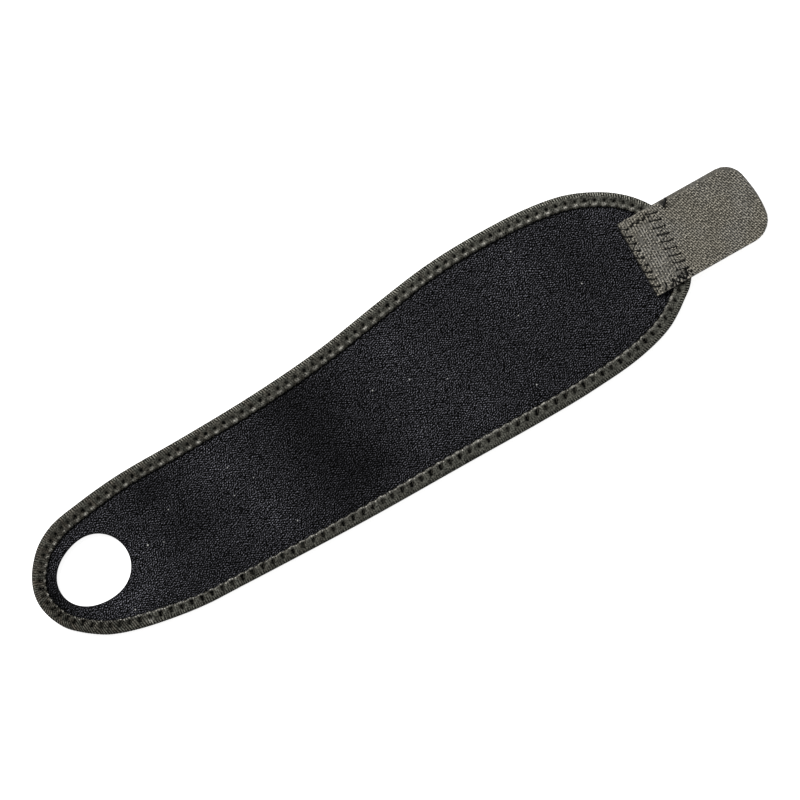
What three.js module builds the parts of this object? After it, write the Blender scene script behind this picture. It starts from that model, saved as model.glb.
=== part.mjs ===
// Wrist thumb brace: a flat foam panel with a thumb hole, bound all round its edge with folded tape,
// and a hook-tape tab sewn on one end. It lies flat, skin side up. Millimetres, +Z up.
// +X runs along the brace from the thumb end to the tab, and the origin is under the middle of its box.
import * as THREE from "three";

// Thicknesses
const SHEET = 3.0; // the foam sheet with its knit faces
const SEWN_SHEET = 2.0; // the same sheet where the stitched binding squeezes it
const TAPE = 1.0; // the binding tape
const TAB = 1.2; // the hook tape without its hooks
const GAP = 0.2; // clearance between neighbouring pieces

// The tab, in plan
const TAB_WIDTH = 38.0;
const TAB_INNER_X = 127.0; // where its sewn end starts on the panel
const TAB_TIP_X = 190.6;
const TAB_MIDDLE_Y = -2.1;
const TAB_CORNER = 11.0; // radius of the two free corners
const TAB_BULGE = 0.7; // how far the middle of the free end stands out past the corners
const TAB_SKEW = 0.5; // the free end is cut a little askew, its lower side longer by this
const TAB_DROOP = THREE.MathUtils.degToRad(4); // the free length slopes down from the nose

// The thumb hole: a circle that is stretched along one direction and slightly egg-shaped
const HOLE = {
  x: -160.7,
  y: -3.1,
  radius: 16.7,
  stretch: 1.47,
  stretchTurn: THREE.MathUtils.degToRad(11.4),
  egg: 0.33,
  eggTurn: THREE.MathUtils.degToRad(69.3),
  rim: 0.5, // rounding of the cut edge
};

// Facets
const EDGE_STATIONS = 120;
const HOLE_STATIONS = 48;
const FOLD_STEPS = 4;
const TAB_ACROSS = 7;
const RISE_STEPS = 4;
const CORNER_STEPS = 6;

// Heights that follow from the thicknesses
const BINDING_TOP = SEWN_SHEET + 2 * (TAPE + GAP);
const EDGE_MIDDLE = BINDING_TOP / 2;
const SHEET_BOTTOM = 0.3; // the soft middle sags almost to the table
const SHEET_TOP = SHEET_BOTTOM + SHEET;
const TAB_LOW = SHEET_TOP + GAP;
const TAB_HIGH = BINDING_TOP + GAP;

// The bound outline, anticlockwise from the nose under the tab. tape is how wide the binding shows there.
const EDGE_ROWS = [
  { place: "nose", x: 153.2, y: -2.0, tape: 7.3 },
  { place: "nose shoulder", x: 145.8, y: 16.9, tape: 7.2 },
  { place: "upper nose", x: 134.5, y: 29.5, tape: 7.0 },
  { place: "upper nose", x: 115.9, y: 39.6, tape: 7.3 },
  { place: "upper bulge", x: 97.5, y: 43.6, tape: 7.4 },
  { place: "upper bulge crest", x: 69.9, y: 45.0, tape: 7.0 },
  { place: "upper bulge", x: 42.2, y: 44.0, tape: 6.9 },
  { place: "upper slope", x: 14.6, y: 40.2, tape: 7.3 },
  { place: "upper slope", x: -22.3, y: 34.3, tape: 7.2 },
  { place: "upper waist", x: -59.1, y: 31.3, tape: 7.3 },
  { place: "upper waist", x: -96.0, y: 30.2, tape: 6.9 },
  { place: "upper shoulder", x: -130.0, y: 29.8, tape: 6.9 },
  { place: "thumb end, upper", x: -153.0, y: 27.4, tape: 7.2 },
  { place: "thumb end, upper", x: -168.0, y: 24.5, tape: 7.3 },
  { place: "thumb end, upper", x: -178.9, y: 18.3, tape: 7.3 },
  { place: "thumb end, upper", x: -188.1, y: 6.5, tape: 7.1 },
  { place: "thumb end", x: -190.6, y: -4.5, tape: 6.9 },
  { place: "thumb end, lower", x: -188.1, y: -14.3, tape: 6.7 },
  { place: "thumb end, lower", x: -184.6, y: -20.3, tape: 6.6 },
  { place: "thumb end, lower", x: -178.9, y: -25.7, tape: 6.5 },
  { place: "thumb end, lower", x: -169.5, y: -32.1, tape: 6.5 },
  { place: "thumb end, lower", x: -158.0, y: -36.3, tape: 6.5 },
  { place: "lower shoulder", x: -142.0, y: -39.8, tape: 6.3 },
  { place: "lower shoulder", x: -123.6, y: -42.3, tape: 5.9 },
  { place: "lower side", x: -105.2, y: -43.0, tape: 6.0 },
  { place: "lower side", x: -80.0, y: -43.8, tape: 6.1 },
  { place: "lower side", x: -40.7, y: -44.8, tape: 6.7 },
  { place: "lower side", x: 14.6, y: -44.9, tape: 7.5 },
  { place: "lower side", x: 55.0, y: -45.0, tape: 7.7 },
  { place: "lower side", x: 80.0, y: -44.3, tape: 7.5 },
  { place: "lower nose", x: 106.7, y: -41.7, tape: 7.5 },
  { place: "lower nose", x: 125.1, y: -36.5, tape: 7.4 },
  { place: "nose shoulder", x: 136.6, y: -29.2, tape: 7.3 },
  { place: "nose shoulder", x: 144.9, y: -21.9, tape: 7.3 },
];

// How the sheet swells out of the binding, a row for each ring inwards of the tape's inner edge
const SWELL_ROWS = [
  { inward: 0.2, low: EDGE_MIDDLE - SEWN_SHEET / 2, high: EDGE_MIDDLE + SEWN_SHEET / 2 },
  { inward: 1.2, low: 0.65, high: 3.5 },
  { inward: 2.7, low: SHEET_BOTTOM, high: SHEET_TOP },
];

// The tab's underside along its length: up from the panel, level over the binding, then straight down
const TAB_LEVEL_START = 135.0;
const TAB_LEVEL_END = 155.0;

const smooth = (share) => share * share * (3 - 2 * share);

// A skin of triangles that is put together from rings of points
class Skin {
  constructor() {
    this.points = [];
    this.faces = [];
  }

  ring(points) {
    const first = this.points.length;
    this.points.push(...points);
    return points.map((_, i) => first + i);
  }

  // Quads between two rings of the same count; the left one is ahead, seen from outside
  band(left, right) {
    left.forEach((corner, i) => {
      const next = (i + 1) % left.length;
      this.faces.push([corner, right[i], right[next]], [corner, right[next], left[next]]);
    });
  }

  // A flat face inside a ring, with or without a hole in it, that looks up or down
  cap(ring, hole, up) {
    const flat = (indices) => indices.map((i) => new THREE.Vector2(this.points[i].x, this.points[i].y));
    const all = [...ring, ...hole];
    const triangles = THREE.ShapeUtils.triangulateShape(flat(ring), hole.length ? [flat(hole)] : []);
    for (const [a, b, c] of triangles) {
      const [p, q, r] = flat([all[a], all[b], all[c]]);
      const turn = q.sub(p).cross(r.sub(p));
      this.faces.push(turn > 0 === up ? [all[a], all[b], all[c]] : [all[a], all[c], all[b]]);
    }
  }

  geometry() {
    const geometry = new THREE.BufferGeometry().setFromPoints(this.points);
    geometry.setIndex(this.faces.flat());
    geometry.computeVertexNormals();
    return geometry;
  }
}

// Evenly spaced stations along the outline, each with its inward direction and the tape's width
function edgeStations() {
  const rows = EDGE_ROWS.map((row) => new THREE.Vector3(row.x, row.y, row.tape));
  const curve = new THREE.CatmullRomCurve3(rows, true, "centripetal");
  return Array.from({ length: EDGE_STATIONS }, (_, i) => {
    const at = curve.getPointAt(i / EDGE_STATIONS);
    const along = curve.getTangentAt(i / EDGE_STATIONS);
    const inward = new THREE.Vector2(-along.y, along.x).normalize();
    return { x: at.x, y: at.y, tape: at.z, inward };
  });
}

// A ring of points that follows the outline, set in from it by a distance, at one height
function edgeRing(stations, insetOf, height) {
  return stations.map((station) => {
    const inset = insetOf(station);
    return new THREE.Vector3(
      station.x + inset * station.inward.x,
      station.y + inset * station.inward.y,
      height,
    );
  });
}

function holeRing(grow, height) {
  return Array.from({ length: HOLE_STATIONS }, (_, i) => {
    const turn = (2 * Math.PI * i) / HOLE_STATIONS;
    const stretch = HOLE.stretch * Math.cos(2 * (turn - HOLE.stretchTurn));
    const egg = HOLE.egg * Math.cos(3 * (turn - HOLE.eggTurn));
    const radius = HOLE.radius + stretch + egg + grow;
    return new THREE.Vector3(HOLE.x + radius * Math.cos(turn), HOLE.y + radius * Math.sin(turn), height);
  });
}

// The sheet: thin under the binding, swelling to full thickness inside it, with the thumb hole cut through
function panelGeometry(stations) {
  const skin = new Skin();
  const edge = [
    ...SWELL_ROWS.toReversed().map((row) => [(station) => station.tape + row.inward, row.high]),
    [() => TAPE + GAP, EDGE_MIDDLE + SEWN_SHEET / 2],
    [() => TAPE + GAP, EDGE_MIDDLE - SEWN_SHEET / 2],
    ...SWELL_ROWS.map((row) => [(station) => station.tape + row.inward, row.low]),
  ].map(([insetOf, height]) => skin.ring(edgeRing(stations, insetOf, height)));
  const hole = [
    [HOLE.rim, SHEET_TOP],
    [0, SHEET_TOP - HOLE.rim],
    [0, SHEET_BOTTOM + HOLE.rim],
    [HOLE.rim, SHEET_BOTTOM],
  ].map(([grow, height]) => skin.ring(holeRing(grow, height)));
  edge.slice(1).forEach((ring, i) => skin.band(edge[i], ring));
  hole.slice(1).forEach((ring, i) => skin.band(ring, hole[i]));
  skin.cap(edge.at(0), hole.at(0), true);
  skin.cap(edge.at(-1), hole.at(-1), false);
  return skin.geometry();
}

// The tape, folded round the sheet's edge: a U section that runs all the way round the outline
function bindingGeometry(stations) {
  const skin = new Skin();
  const bend = BINDING_TOP / 2;
  const lip = (station) => station.tape;
  const fold = Array.from({ length: FOLD_STEPS + 1 }, (_, i) => {
    const turn = (Math.PI * i) / FOLD_STEPS;
    return [() => bend * (1 - Math.sin(turn)), EDGE_MIDDLE + bend * Math.cos(turn)];
  });
  const section = [
    [lip, BINDING_TOP],
    ...fold,
    [lip, 0],
    [lip, TAPE],
    [() => TAPE, TAPE],
    [() => TAPE, BINDING_TOP - TAPE],
    [lip, BINDING_TOP - TAPE],
  ].map(([insetOf, height]) => skin.ring(edgeRing(stations, insetOf, height)));
  section.forEach((ring, i) => skin.band(ring, section[(i + 1) % section.length]));
  return skin.geometry();
}

// Height of the tab's underside at a place along the brace
function tabUnderside(x) {
  const rise = THREE.MathUtils.clamp((x - TAB_INNER_X) / (TAB_LEVEL_START - TAB_INNER_X), 0, 1);
  const drop = Math.max(0, x - TAB_LEVEL_END) * Math.tan(TAB_DROOP);
  return TAB_LOW + (TAB_HIGH - TAB_LOW) * smooth(rise) - drop;
}

// The tab in plan, from its sewn end to its free end: each row is a line across it
function tabRows() {
  const half = TAB_WIDTH / 2;
  const cornerStart = TAB_TIP_X - TAB_BULGE - TAB_CORNER;
  const rise = Array.from({ length: RISE_STEPS + 1 }, (_, i) => ({
    x: THREE.MathUtils.lerp(TAB_INNER_X, TAB_LEVEL_START, i / RISE_STEPS),
    half,
    bulge: 0,
    skew: 0,
  }));
  const corner = Array.from({ length: CORNER_STEPS + 1 }, (_, i) => {
    const turn = (i / CORNER_STEPS) * (Math.PI / 2);
    return {
      x: cornerStart + TAB_CORNER * Math.sin(turn),
      half: half - TAB_CORNER * (1 - Math.cos(turn)),
      bulge: TAB_BULGE * Math.sin(turn),
      skew: TAB_SKEW * Math.sin(turn),
    };
  });
  return [...rise, { x: TAB_LEVEL_END, half, bulge: 0, skew: 0 }, ...corner];
}

function tabGeometry() {
  const skin = new Skin();
  const shares = Array.from({ length: TAB_ACROSS }, (_, i) => (2 * i) / (TAB_ACROSS - 1) - 1);
  const line = (row, lift) =>
    shares.map((share) => {
      const x = row.x + row.bulge * (1 - share * share) - row.skew * share;
      return new THREE.Vector3(x, TAB_MIDDLE_Y + share * row.half, tabUnderside(x) + lift);
    });
  const rings = tabRows().map((row) => skin.ring([...line(row, TAB), ...line(row, 0).reverse()]));
  rings.slice(1).forEach((ring, i) => skin.band(rings[i], ring));
  const endFaces = (ring, outward) => {
    for (let i = 0; i < TAB_ACROSS - 1; i += 1) {
      const [a, b] = [ring[i], ring[i + 1]];
      const [c, d] = [ring[2 * TAB_ACROSS - 2 - i], ring[2 * TAB_ACROSS - 1 - i]];
      skin.faces.push(...(outward ? [[a, c, b], [a, d, c]] : [[a, b, c], [a, c, d]]));
    }
  };
  endFaces(rings.at(0), false);
  endFaces(rings.at(-1), true);
  return skin.geometry();
}

function piece(name, geometry, color, roughness) {
  const material = new THREE.MeshStandardMaterial({ color, roughness, metalness: 0 });
  const mesh = new THREE.Mesh(geometry, material);
  mesh.name = name;
  return mesh;
}

const stations = edgeStations();
const brace = new THREE.Group();
brace.add(
  piece("panel", panelGeometry(stations), 0x242427, 0.9),
  piece("edge_binding", bindingGeometry(stations), 0x3b3a34, 0.85),
  piece("hook_tab", tabGeometry(), 0x67645b, 0.7),
);

export default brace;
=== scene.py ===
import math

import bpy
import numpy as np
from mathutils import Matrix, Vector, noise
from mathutils.geometry import delaunay_2d_cdt


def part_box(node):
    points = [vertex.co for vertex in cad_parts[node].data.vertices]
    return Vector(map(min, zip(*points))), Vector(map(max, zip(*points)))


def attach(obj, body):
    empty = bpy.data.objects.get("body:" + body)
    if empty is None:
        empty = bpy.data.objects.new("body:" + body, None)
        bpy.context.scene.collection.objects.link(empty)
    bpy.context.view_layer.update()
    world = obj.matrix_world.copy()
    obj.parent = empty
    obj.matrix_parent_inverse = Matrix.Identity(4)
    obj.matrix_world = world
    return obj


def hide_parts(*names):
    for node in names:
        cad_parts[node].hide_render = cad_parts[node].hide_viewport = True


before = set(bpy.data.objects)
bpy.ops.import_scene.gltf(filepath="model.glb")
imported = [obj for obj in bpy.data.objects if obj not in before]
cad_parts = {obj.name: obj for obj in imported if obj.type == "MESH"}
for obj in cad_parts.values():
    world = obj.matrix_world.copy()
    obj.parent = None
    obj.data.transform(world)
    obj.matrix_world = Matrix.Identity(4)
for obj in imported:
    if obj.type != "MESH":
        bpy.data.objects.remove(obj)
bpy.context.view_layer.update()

bl_info = {
    "name": "Wrist Thumb Brace",
    "version": (1, 0, 0),
    "blender": (4, 5, 0),
    "location": "View3D > Sidebar > Brace",
    "description": "Builds a soft wrist brace with a bound edge and a hook tab over its solids",
    "category": "Object",
}

MM = 0.001
BODY = "root"


def table(columns, *rows):
    """Rows with named columns."""
    return [dict(zip(columns.split(), row)) for row in rows]


# How close a corner of a solid has to be to a height to belong to the ring there, and to a place along the
# tab to belong to the section there
LEVEL_SLACK = 0.02 * MM
SECTION_SLACK = 0.002 * MM
# Decimals of a metre to which the corners of a solid are told apart
CORNER_DECIMALS = 6
# The solid's ring of corners down the wall of the thumb hole
HOLE_RING_HEIGHT = 2.8 * MM
# The kind of triangulation that keeps only what lies inside the outline
INSIDE_EDGES = 1
# Points round each speck of lint
RING_POINTS = 8
# How close the points of a field come to an outline or a mark, in spacings, and how close two points are
# one, in millimetres
FIELD_GAP = 0.6
SAME_POINT = 1e-6
# Spacing along the sheet's outline, its thumb hole and the tab's underside, in spacings of their meshes
OUTLINE_SPACING = 1.5
HOLE_SPACING = 0.7
UNDERSIDE_SPACING = 4
# Points along the bend of a stitch or a hook, and round their wires
BEND_POINTS = 7
THREAD_SIDES = 6
HOOK_SIDES = 5

# The folded tape before it is sewn. reach is the share of the way from the fold to the lip, and rise is the
# height over the middle of the edge in millimetres.
TAPE_ROWS = table(
    "reach rise",
    (0.00, 2.20), (0.20, 2.16), (0.60, 2.15), (0.80, 2.10), (0.92, 1.92), (1.00, 1.50),
)
# The tape under the brace, with rise above the ground in millimetres
UNDERSIDE_ROWS = table(
    "reach rise",
    (0.00, 0.00), (0.16, 0.10), (0.31, 0.36), (0.60, 0.34), (0.90, 0.42), (1.00, 0.75),
)
# Rows of the mesh across the tape's upper face, steps round its fold, and points along it for each rib
TAPE_STEPS = 19
FOLD_STEPS = 6
RIB_STATIONS = 4
# Half the height of the tape's channel, and how far behind the lip it starts
CHANNEL = 0.75 * MM
LIP_THICKNESS = 0.2 * MM
# How wide a stitch pulls the lip down, and the reach at which that starts
BITE_WIDTH = 0.9 * MM
BITE_START = 0.45
# The zigzag that sews the tape down, going round from the nose of the brace: how far along the outline and
# the length of one zigzag there, both in millimetres, the share of the tape's width at which its needle row
# lies, how far the lip is drawn back from the solid's, and how far the pocket at a needle hole runs towards
# the lip, both in millimetres. The pocket is dented and painted black with shade.
ZIGZAG_ROWS = table(
    "along pitch needle trim pocket",
    (0, 4.80, 0.57, 0.6, 0.2),
    (100, 4.83, 0.55, 0.2, 0.2),
    (300, 4.90, 0.58, 0.0, 0.2),
    (345, 4.30, 0.58, 0.0, 0.5),
    (375, 4.50, 0.60, 0.8, 0.7),
    (405, 4.40, 0.58, 0.2, 1.4),
    (445, 5.20, 0.52, 0.1, 1.3),
    (480, 5.24, 0.51, 0.6, 1.1),
    (520, 5.30, 0.50, 0.6, 1.0),
    (600, 5.10, 0.55, 0.4, 1.0),
    (700, 5.10, 0.55, 0.8, 0.9),
)
# The look of the tape, going round the same way: how far its lip faces the light and takes a painted
# highlight, where it doesn't the knit beside it takes a painted shadow and the needle row painted shade, how
# light and how brown it is all over, how strong the ribs are, what share of them is left on the flat of the
# tape, how far they lean and how many times further apart they are where the tape is stretched
TAPE_TONE_ROWS = table(
    "along pale_lip tone brown rib flat lean stretch",
    (0, 0.00, 1.50, 0.05, 1.00, 0.12, 0.3, 1.00),
    (140, 0.00, 1.20, 0.12, 1.00, 0.12, 0.3, 1.00),
    (290, 0.00, 0.87, 0.22, 0.80, 0.15, 0.3, 1.00),
    (345, 0.00, 0.90, 0.32, 0.35, 0.40, 0.0, 1.00),
    (375, 0.05, 0.90, 0.40, 0.50, 0.60, 0.0, 1.00),
    (400, 0.20, 0.78, 0.30, 0.75, 0.80, 1.1, 1.20),
    (425, 0.50, 0.82, 0.20, 0.65, 0.80, 0.7, 1.15),
    (450, 0.70, 1.05, 0.05, 0.50, 0.50, 0.0, 1.00),
    (520, 0.70, 1.05, 0.12, 0.30, 0.40, 0.0, 1.00),
    (600, 0.60, 1.05, 0.05, 0.30, 0.40, 0.0, 1.00),
    (700, 0.30, 1.10, 0.05, 0.60, 0.20, 0.2, 1.00),
)
# How the needle holes differ: each trait's middle and how far a hole strays from it to either side. The
# hole darkness sets the strength of its painted shade, and the puff paleness that of its painted highlights
WHIM_ROWS = table(
    "trait seed middle spread",
    ("pocket length", 1, 1.00, 0.35),
    ("pocket lean", 2, 1.00, 1.00),
    ("hole radius", 3, 1.00, 0.18),
    ("hole darkness", 4, 0.95, 0.20),
    ("puff paleness", 5, 1.00, 0.40),
)
# How fast a needle pocket widens towards the lip and leans along it
POCKET_FLARE = 0.35
POCKET_LEAN = 0.35
# Where the tape puffs up past a needle hole: how far, and over what length across and along the tape
PUFF_PLACE = 1.7 * MM
PUFF_ACROSS = 0.7 * MM
PUFF_ALONG = 1.1 * MM
# The reach at which the lip takes a painted highlight where it faces the light, and how wide that line is,
# and how much brighter that painted highlight is where the thread shows over the lip, and how wide
LIP_HIGHLIGHT_REACH = 0.93
LIP_HIGHLIGHT_WIDTH = 0.065
THREAD_HIGHLIGHT = 3.6
THREAD_HIGHLIGHT_WIDTH = 0.45 * MM
# How far in from the edge the ribs start to fade and are faded, and how much stronger they are at the edge
RIB_FADE = (0.9 * MM, 2.1 * MM)
EDGE_RIB = 1.35
# How far the ribs stray from their even pitch, and the distance over which they do
RIB_STRAY = 0.5 * MM
RIB_STRAY_LENGTH = 3 * MM
# How much darker the tape is painted at the very edge of its fold, a painted shade, and how far in
FOLD_SHADE = 0.3
FOLD_SHADE_WIDTH = 1.0 * MM
# How much darker the tape is painted along its needle row, a painted shade where its lip faces away from
# the light, and that line's width
ROW_SHADE = 0.3
ROW_SHADE_WIDTH = 0.9 * MM
# A pale fleck on the tape, in millimetres on the plan, and how pale it is
FLECK = {"x": -149.0, "y": -36.0, "size": 0.9, "pale": 2.5}

# The binding's zigzag on both faces: heights in millimetres of its needle points on the tape and past the
# lip, and how far its thread arches
STITCH_ROWS = table(
    "face up on_tape past_lip arch",
    ("binding_stitches", 1, 2.6, 3.2, 2.4),
    ("binding_stitches_under", -1, 0.35, 0.6, 0.5),
)
# How far past the lip the binding's zigzag goes into the panel
PAST_LIP = 0.1 * MM
# The lowest and the highest share of its arch that a stitch has
ARCH_SHARES = (0.82, 1.12)

# The zigzag seams that hold the tab, in millimetres on the plan: the two ends of each one's middle line, its
# width and the length of one zigzag. The thread that shows crosses the seam over the first part of a zigzag.
SEAM_ROWS = table(
    "seam x0 y0 x1 y1 width pitch",
    ("inner end", 129.0, 14.0, 129.0, -19.7, 3.2, 3.9),
    ("over the binding", 143.6, 14.3, 143.6, -18.6, 5.0, 3.75),
    ("upper side", 132.6, 13.2, 141.6, 13.2, 0.9, 3.1),
    ("lower side", 132.0, -19.2, 146.4, -19.2, 2.4, 3.2),
    ("back tack", 137.0, -19.9, 146.2, -17.6, 2.4, 2.2),
)
SEAM_CROSSING = 0.4
# How deep a needle draws the tab in, how high its thread arches, and how far the return stitches lie lower
NEEDLE_SINK = 0.7 * MM
SEAM_ARCH = 1.1 * MM
RETURN_SINK = 0.6 * MM
# Rounding of the tab's rim, and points of its mesh along the tab for each of its cords
TAB_RIM = 0.2 * MM
CORD_STATIONS = 4
# Size of the squares of tape that hooks stand on or not, and where the bare selvage of the tab starts
HOOK_CELL = 0.5 * MM
SELVAGE_START = 147 * MM
# How far the cords of the tab's free part slant, and where its sewn root with straight cords ends
CORD_SLANT = math.radians(20)
ROOT_END = 143.6 * MM
# How dark the tab's cut rim is painted with shade, how far in from its sewn end that painted shade reaches,
# and how sharply its cords end at a bare strip
RIM_SHADE = 0.92
RIM_WIDTH = 1.1 * MM
STRIP_SHARPNESS = 4
# How strong the worn cords of the tab's root are: the middle, how far they stray from it, the least, and the
# distance over which they change. Then the share of the hooks that still stand there.
ROOT_CORDS = {"middle": 0.8, "spread": 0.9, "least": 0.1, "length": 3 * MM}
ROOT_HOOKS = 0.8
# How far a hook strays from its place and from standing straight. Then, in shares of its height, how far
# behind and ahead of its middle its two ends are, how high its bend is pulled, and how high its tip ends.
HOOK_STRAY = np.array([0.32 * MM, 0.3 * MM, 0])
HOOK_SWAY = np.array([0.3, 0.25, 0.55])
HOOK_SHARES = (-0.42, 0.42, 1.33, 0.5)
# How high above the tab the rays start that seat its hooks
RAY_START = 10 * MM
# The loose end of thread beside the tab's upper edge, in millimetres on the plan and above the tape
TAIL_ROWS = table(
    "x y lift",
    (152.5, 16.6, 0.05), (152.2, 16.1, 0.70), (151.5, 15.3, 1.10),
    (150.8, 14.5, 1.15), (150.1, 13.6, 0.85), (149.3, 12.7, 0.05),
)
TAIL_RADIUS = 0.55 * MM
# The painted shadow of that thread on the tape beside it, in millimetres, and how dark it is
TAIL_SHADOW = {"x": 150.2, "y": 15.3, "radius": 1.4, "shade": 0.75}

# How far the sheet's hidden edge reaches into the tape's fold, and how far off the ground the sheet stays
TUCK = 0.3 * MM
GROUND_GAP = 0.06 * MM
# How far from the tape the puckers of the sheet fade, and how far from the tab its waves do
PUCKER_FADE = 2 * MM
WAVE_FADE = 10 * MM
# The smaller waves on the larger ones: the share of their height and of their length. Then the share of all
# waves that shows on the underside.
SMALL_WAVE_HEIGHT = 0.35
SMALL_WAVE_LENGTH = 0.25
UNDER_WAVE = 0.4
# Steps of the rounding at the rim of the thumb hole
RIM_SHARES = (0.35, 0.7, 1.0)
# How far from the lip of the tape the knit is painted black with the lip's shadow, where the lip faces away
# from the light, and where the mesh has lines along the lip, in shares of that
LIP_SHADE = 1.2 * MM
LIP_LINES = (-0.5, 0.25, 1.0)
# Specks of lint on the knit, in millimetres on the plan, with the size of each
LINT_ROWS = table(
    "x y size",
    (-152.9, -28.2, 0.50), (-133.3, -5.2, 0.60), (-126.1, -7.6, 0.35), (-117.0, 4.4, 0.40),
    (-83.8, 7.8, 0.40), (-87.3, -5.0, 0.35), (-75.6, -2.1, 0.35), (-67.7, -29.3, 0.45),
    (-8.2, 5.8, 0.50), (-5.2, -11.2, 0.35), (9.1, 1.8, 0.50), (24.6, -6.4, 0.35),
    (58.9, -29.0, 0.48), (67.3, 2.8, 0.42), (78.7, 30.2, 0.45), (99.9, 1.3, 0.48),
)
# Where the knit's nap lies with the light or against it, painted into its colour as sheen and shade, in
# millimetres on the plan: a soft patch's middle, how far it spreads along and across the brace, and how much
# lighter or darker it is
NAP_SHEEN_AND_SHADE_ROWS = table(
    "x y along across tone",
    (-184, -2, 8, 18, -0.75),
    (-153, -24, 14, 6, 0.70),
    (-138, -11, 7, 10, 0.40),
    (-120, 17, 13, 9, -0.48),
    (-112, -7, 13, 10, -0.42),
    (-109, -30, 12, 6, -0.25),
    (-86, 10, 10, 9, 0.40),
    (-77, -21, 8, 12, 0.45),
    (-52, 23, 10, 8, -0.20),
    (-40, -1, 20, 60, -0.56),
    (-23, -24, 13, 10, -0.30),
    (4, -22, 7, 8, 0.40),
    (8, 18, 10, 12, 0.38),
    (22, -4, 10, 14, 0.25),
    (31, -27, 8, 8, 0.42),
    (73, 19, 13, 14, 0.40),
    (103, 8, 8, 12, -0.25),
    (124, 22, 8, 8, 0.35),
    (117, -23, 10, 8, 0.25),
)
# The knit is drawn as two sets of rows that cross: the distance between rows, about twice the real one so
# that it shows, and half the angle between the sets. Each stitch's own height counts this many times, and
# the backs show from the first of two sums of heights to the second. In some patches the stitches lean.
KNIT_ROW = 1.0 * MM
KNIT_CROSSING = 0.42
STITCH_OWN = 2.4
BACKS_SHOW = (2.42, 3.72)
PATCH_LEAN = 0.75
# A wave texture has one wave in this share of its unit
WAVE_TURN = math.pi / 10
# Colours are mixed past either end where the share is below 0 or over 1
COLOUR_MIX = {"data_type": "RGBA", "clamp_factor": False}


def linear(hex_colour):
    """The linear red, green and blue of an sRGB hex colour."""
    channels = [int(hex_colour[i:i + 2], 16) / 255 for i in (1, 3, 5)]
    return [c / 12.92 if c <= 0.04045 else ((c + 0.055) / 1.055) ** 2.4 for c in channels]


# What the painted shade of the needle holes and pockets, the painted shadow beside the loose thread and the
# painted shade of the tab's cut rim darken to
PITCH_BLACK = (*linear("#030303"), 1)


def length(name, description, millimetres):
    """A size that a user can change, given in millimetres and kept in metres."""
    return bpy.props.FloatProperty(
        name=name, description=description, default=millimetres * MM,
        subtype="DISTANCE", unit="LENGTH", precision=5,
    )


def number(name, description, value):
    """A plain number that a user can change."""
    return bpy.props.FloatProperty(name=name, description=description, default=value)


def colour(name, description, hex_colour):
    """A colour that a user can change, given as an sRGB hex value."""
    return bpy.props.FloatVectorProperty(
        name=name, description=description, default=linear(hex_colour), subtype="COLOR", min=0.0, max=1.0
    )


class PanelSettings(bpy.types.PropertyGroup):
    knit_dark: colour("Knit, deep", "Between the stitches of the knit", "#040404")
    # The backs' colour holds their painted sheen as well as their own paleness
    knit_light: colour("Knit, raised", "The lit backs of the knit's stitches", "#5a5a60")
    foam: colour("Foam", "The cut edge round the thumb hole", "#141415")
    lint: colour("Lint", "Specks of lint on the knit", "#cfcfca")
    spacing: length("Point spacing", "Distance between the points of the mesh", 1.1)
    thickness: length("Thickness", "The sheet with both its knit faces", 3.0)
    sewn_thickness: length("Sewn thickness", "The sheet where the stitched tape squeezes it", 1.3)
    swell_reach: length("Swell", "How far from the tape the sheet reaches its full thickness", 4.5)
    ripple: length("Ripple", "Height of the soft waves of the sheet", 0.2)
    ripple_length: length("Ripple length", "Distance over which the waves run", 34.0)
    pucker: length("Pucker", "How far each stitch draws the sheet down beside the tape", 0.14)
    rim: length("Rim", "Rounding of the cut edge of the thumb hole", 0.55)


class BindingSettings(bpy.types.PropertyGroup):
    tape_dark: colour("Tape, deep", "Between the ribs of the tape", "#0f0f0c")
    tape_light: colour("Tape, raised", "The backs of the tape's ribs", "#5c5c55")
    tape_brown: colour("Tape, worn", "Where the tape has gone brown", "#5a5249")
    # The colour of the tape's painted highlights on its puffs and lit lip, and of its pale fleck
    tape_highlight_and_fleck: colour("Tape, rubbed", "Where the tape stands up and is rubbed pale", "#99978f")
    thread: colour("Thread", "The zigzag thread of the binding", "#45423a")
    rib_pitch: length("Rib pitch", "Distance between the ribs of the tape, drawn coarse to show", 1.15)
    rib_height: length("Rib height", "How far the ribs stand out", 0.05)
    dimple_width: length("Dimple width", "How far the dimple round a needle pocket spreads", 1.0)
    dimple_depth: length("Dimple depth", "Depth of that dimple", 1.0)
    # Needle holes and their pockets are painted black with shade
    needle_radius: length("Needle hole", "Radius of the hole that the needle leaves", 0.68)
    needle_blur: length("Needle hole's rim", "Width over which the hole's rim goes dark", 0.4)
    puff: length("Puff", "How far the tape stands up past a needle hole", 0.35)
    bite: length("Bite", "How far a stitch pulls the lip down between two needle holes", 0.6)
    scallop: length("Scallop", "How far the lip bulges between two stitches", 0.25)
    thread_thickness: length("Thread thickness", "Thickness of the zigzag thread", 0.28)


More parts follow.
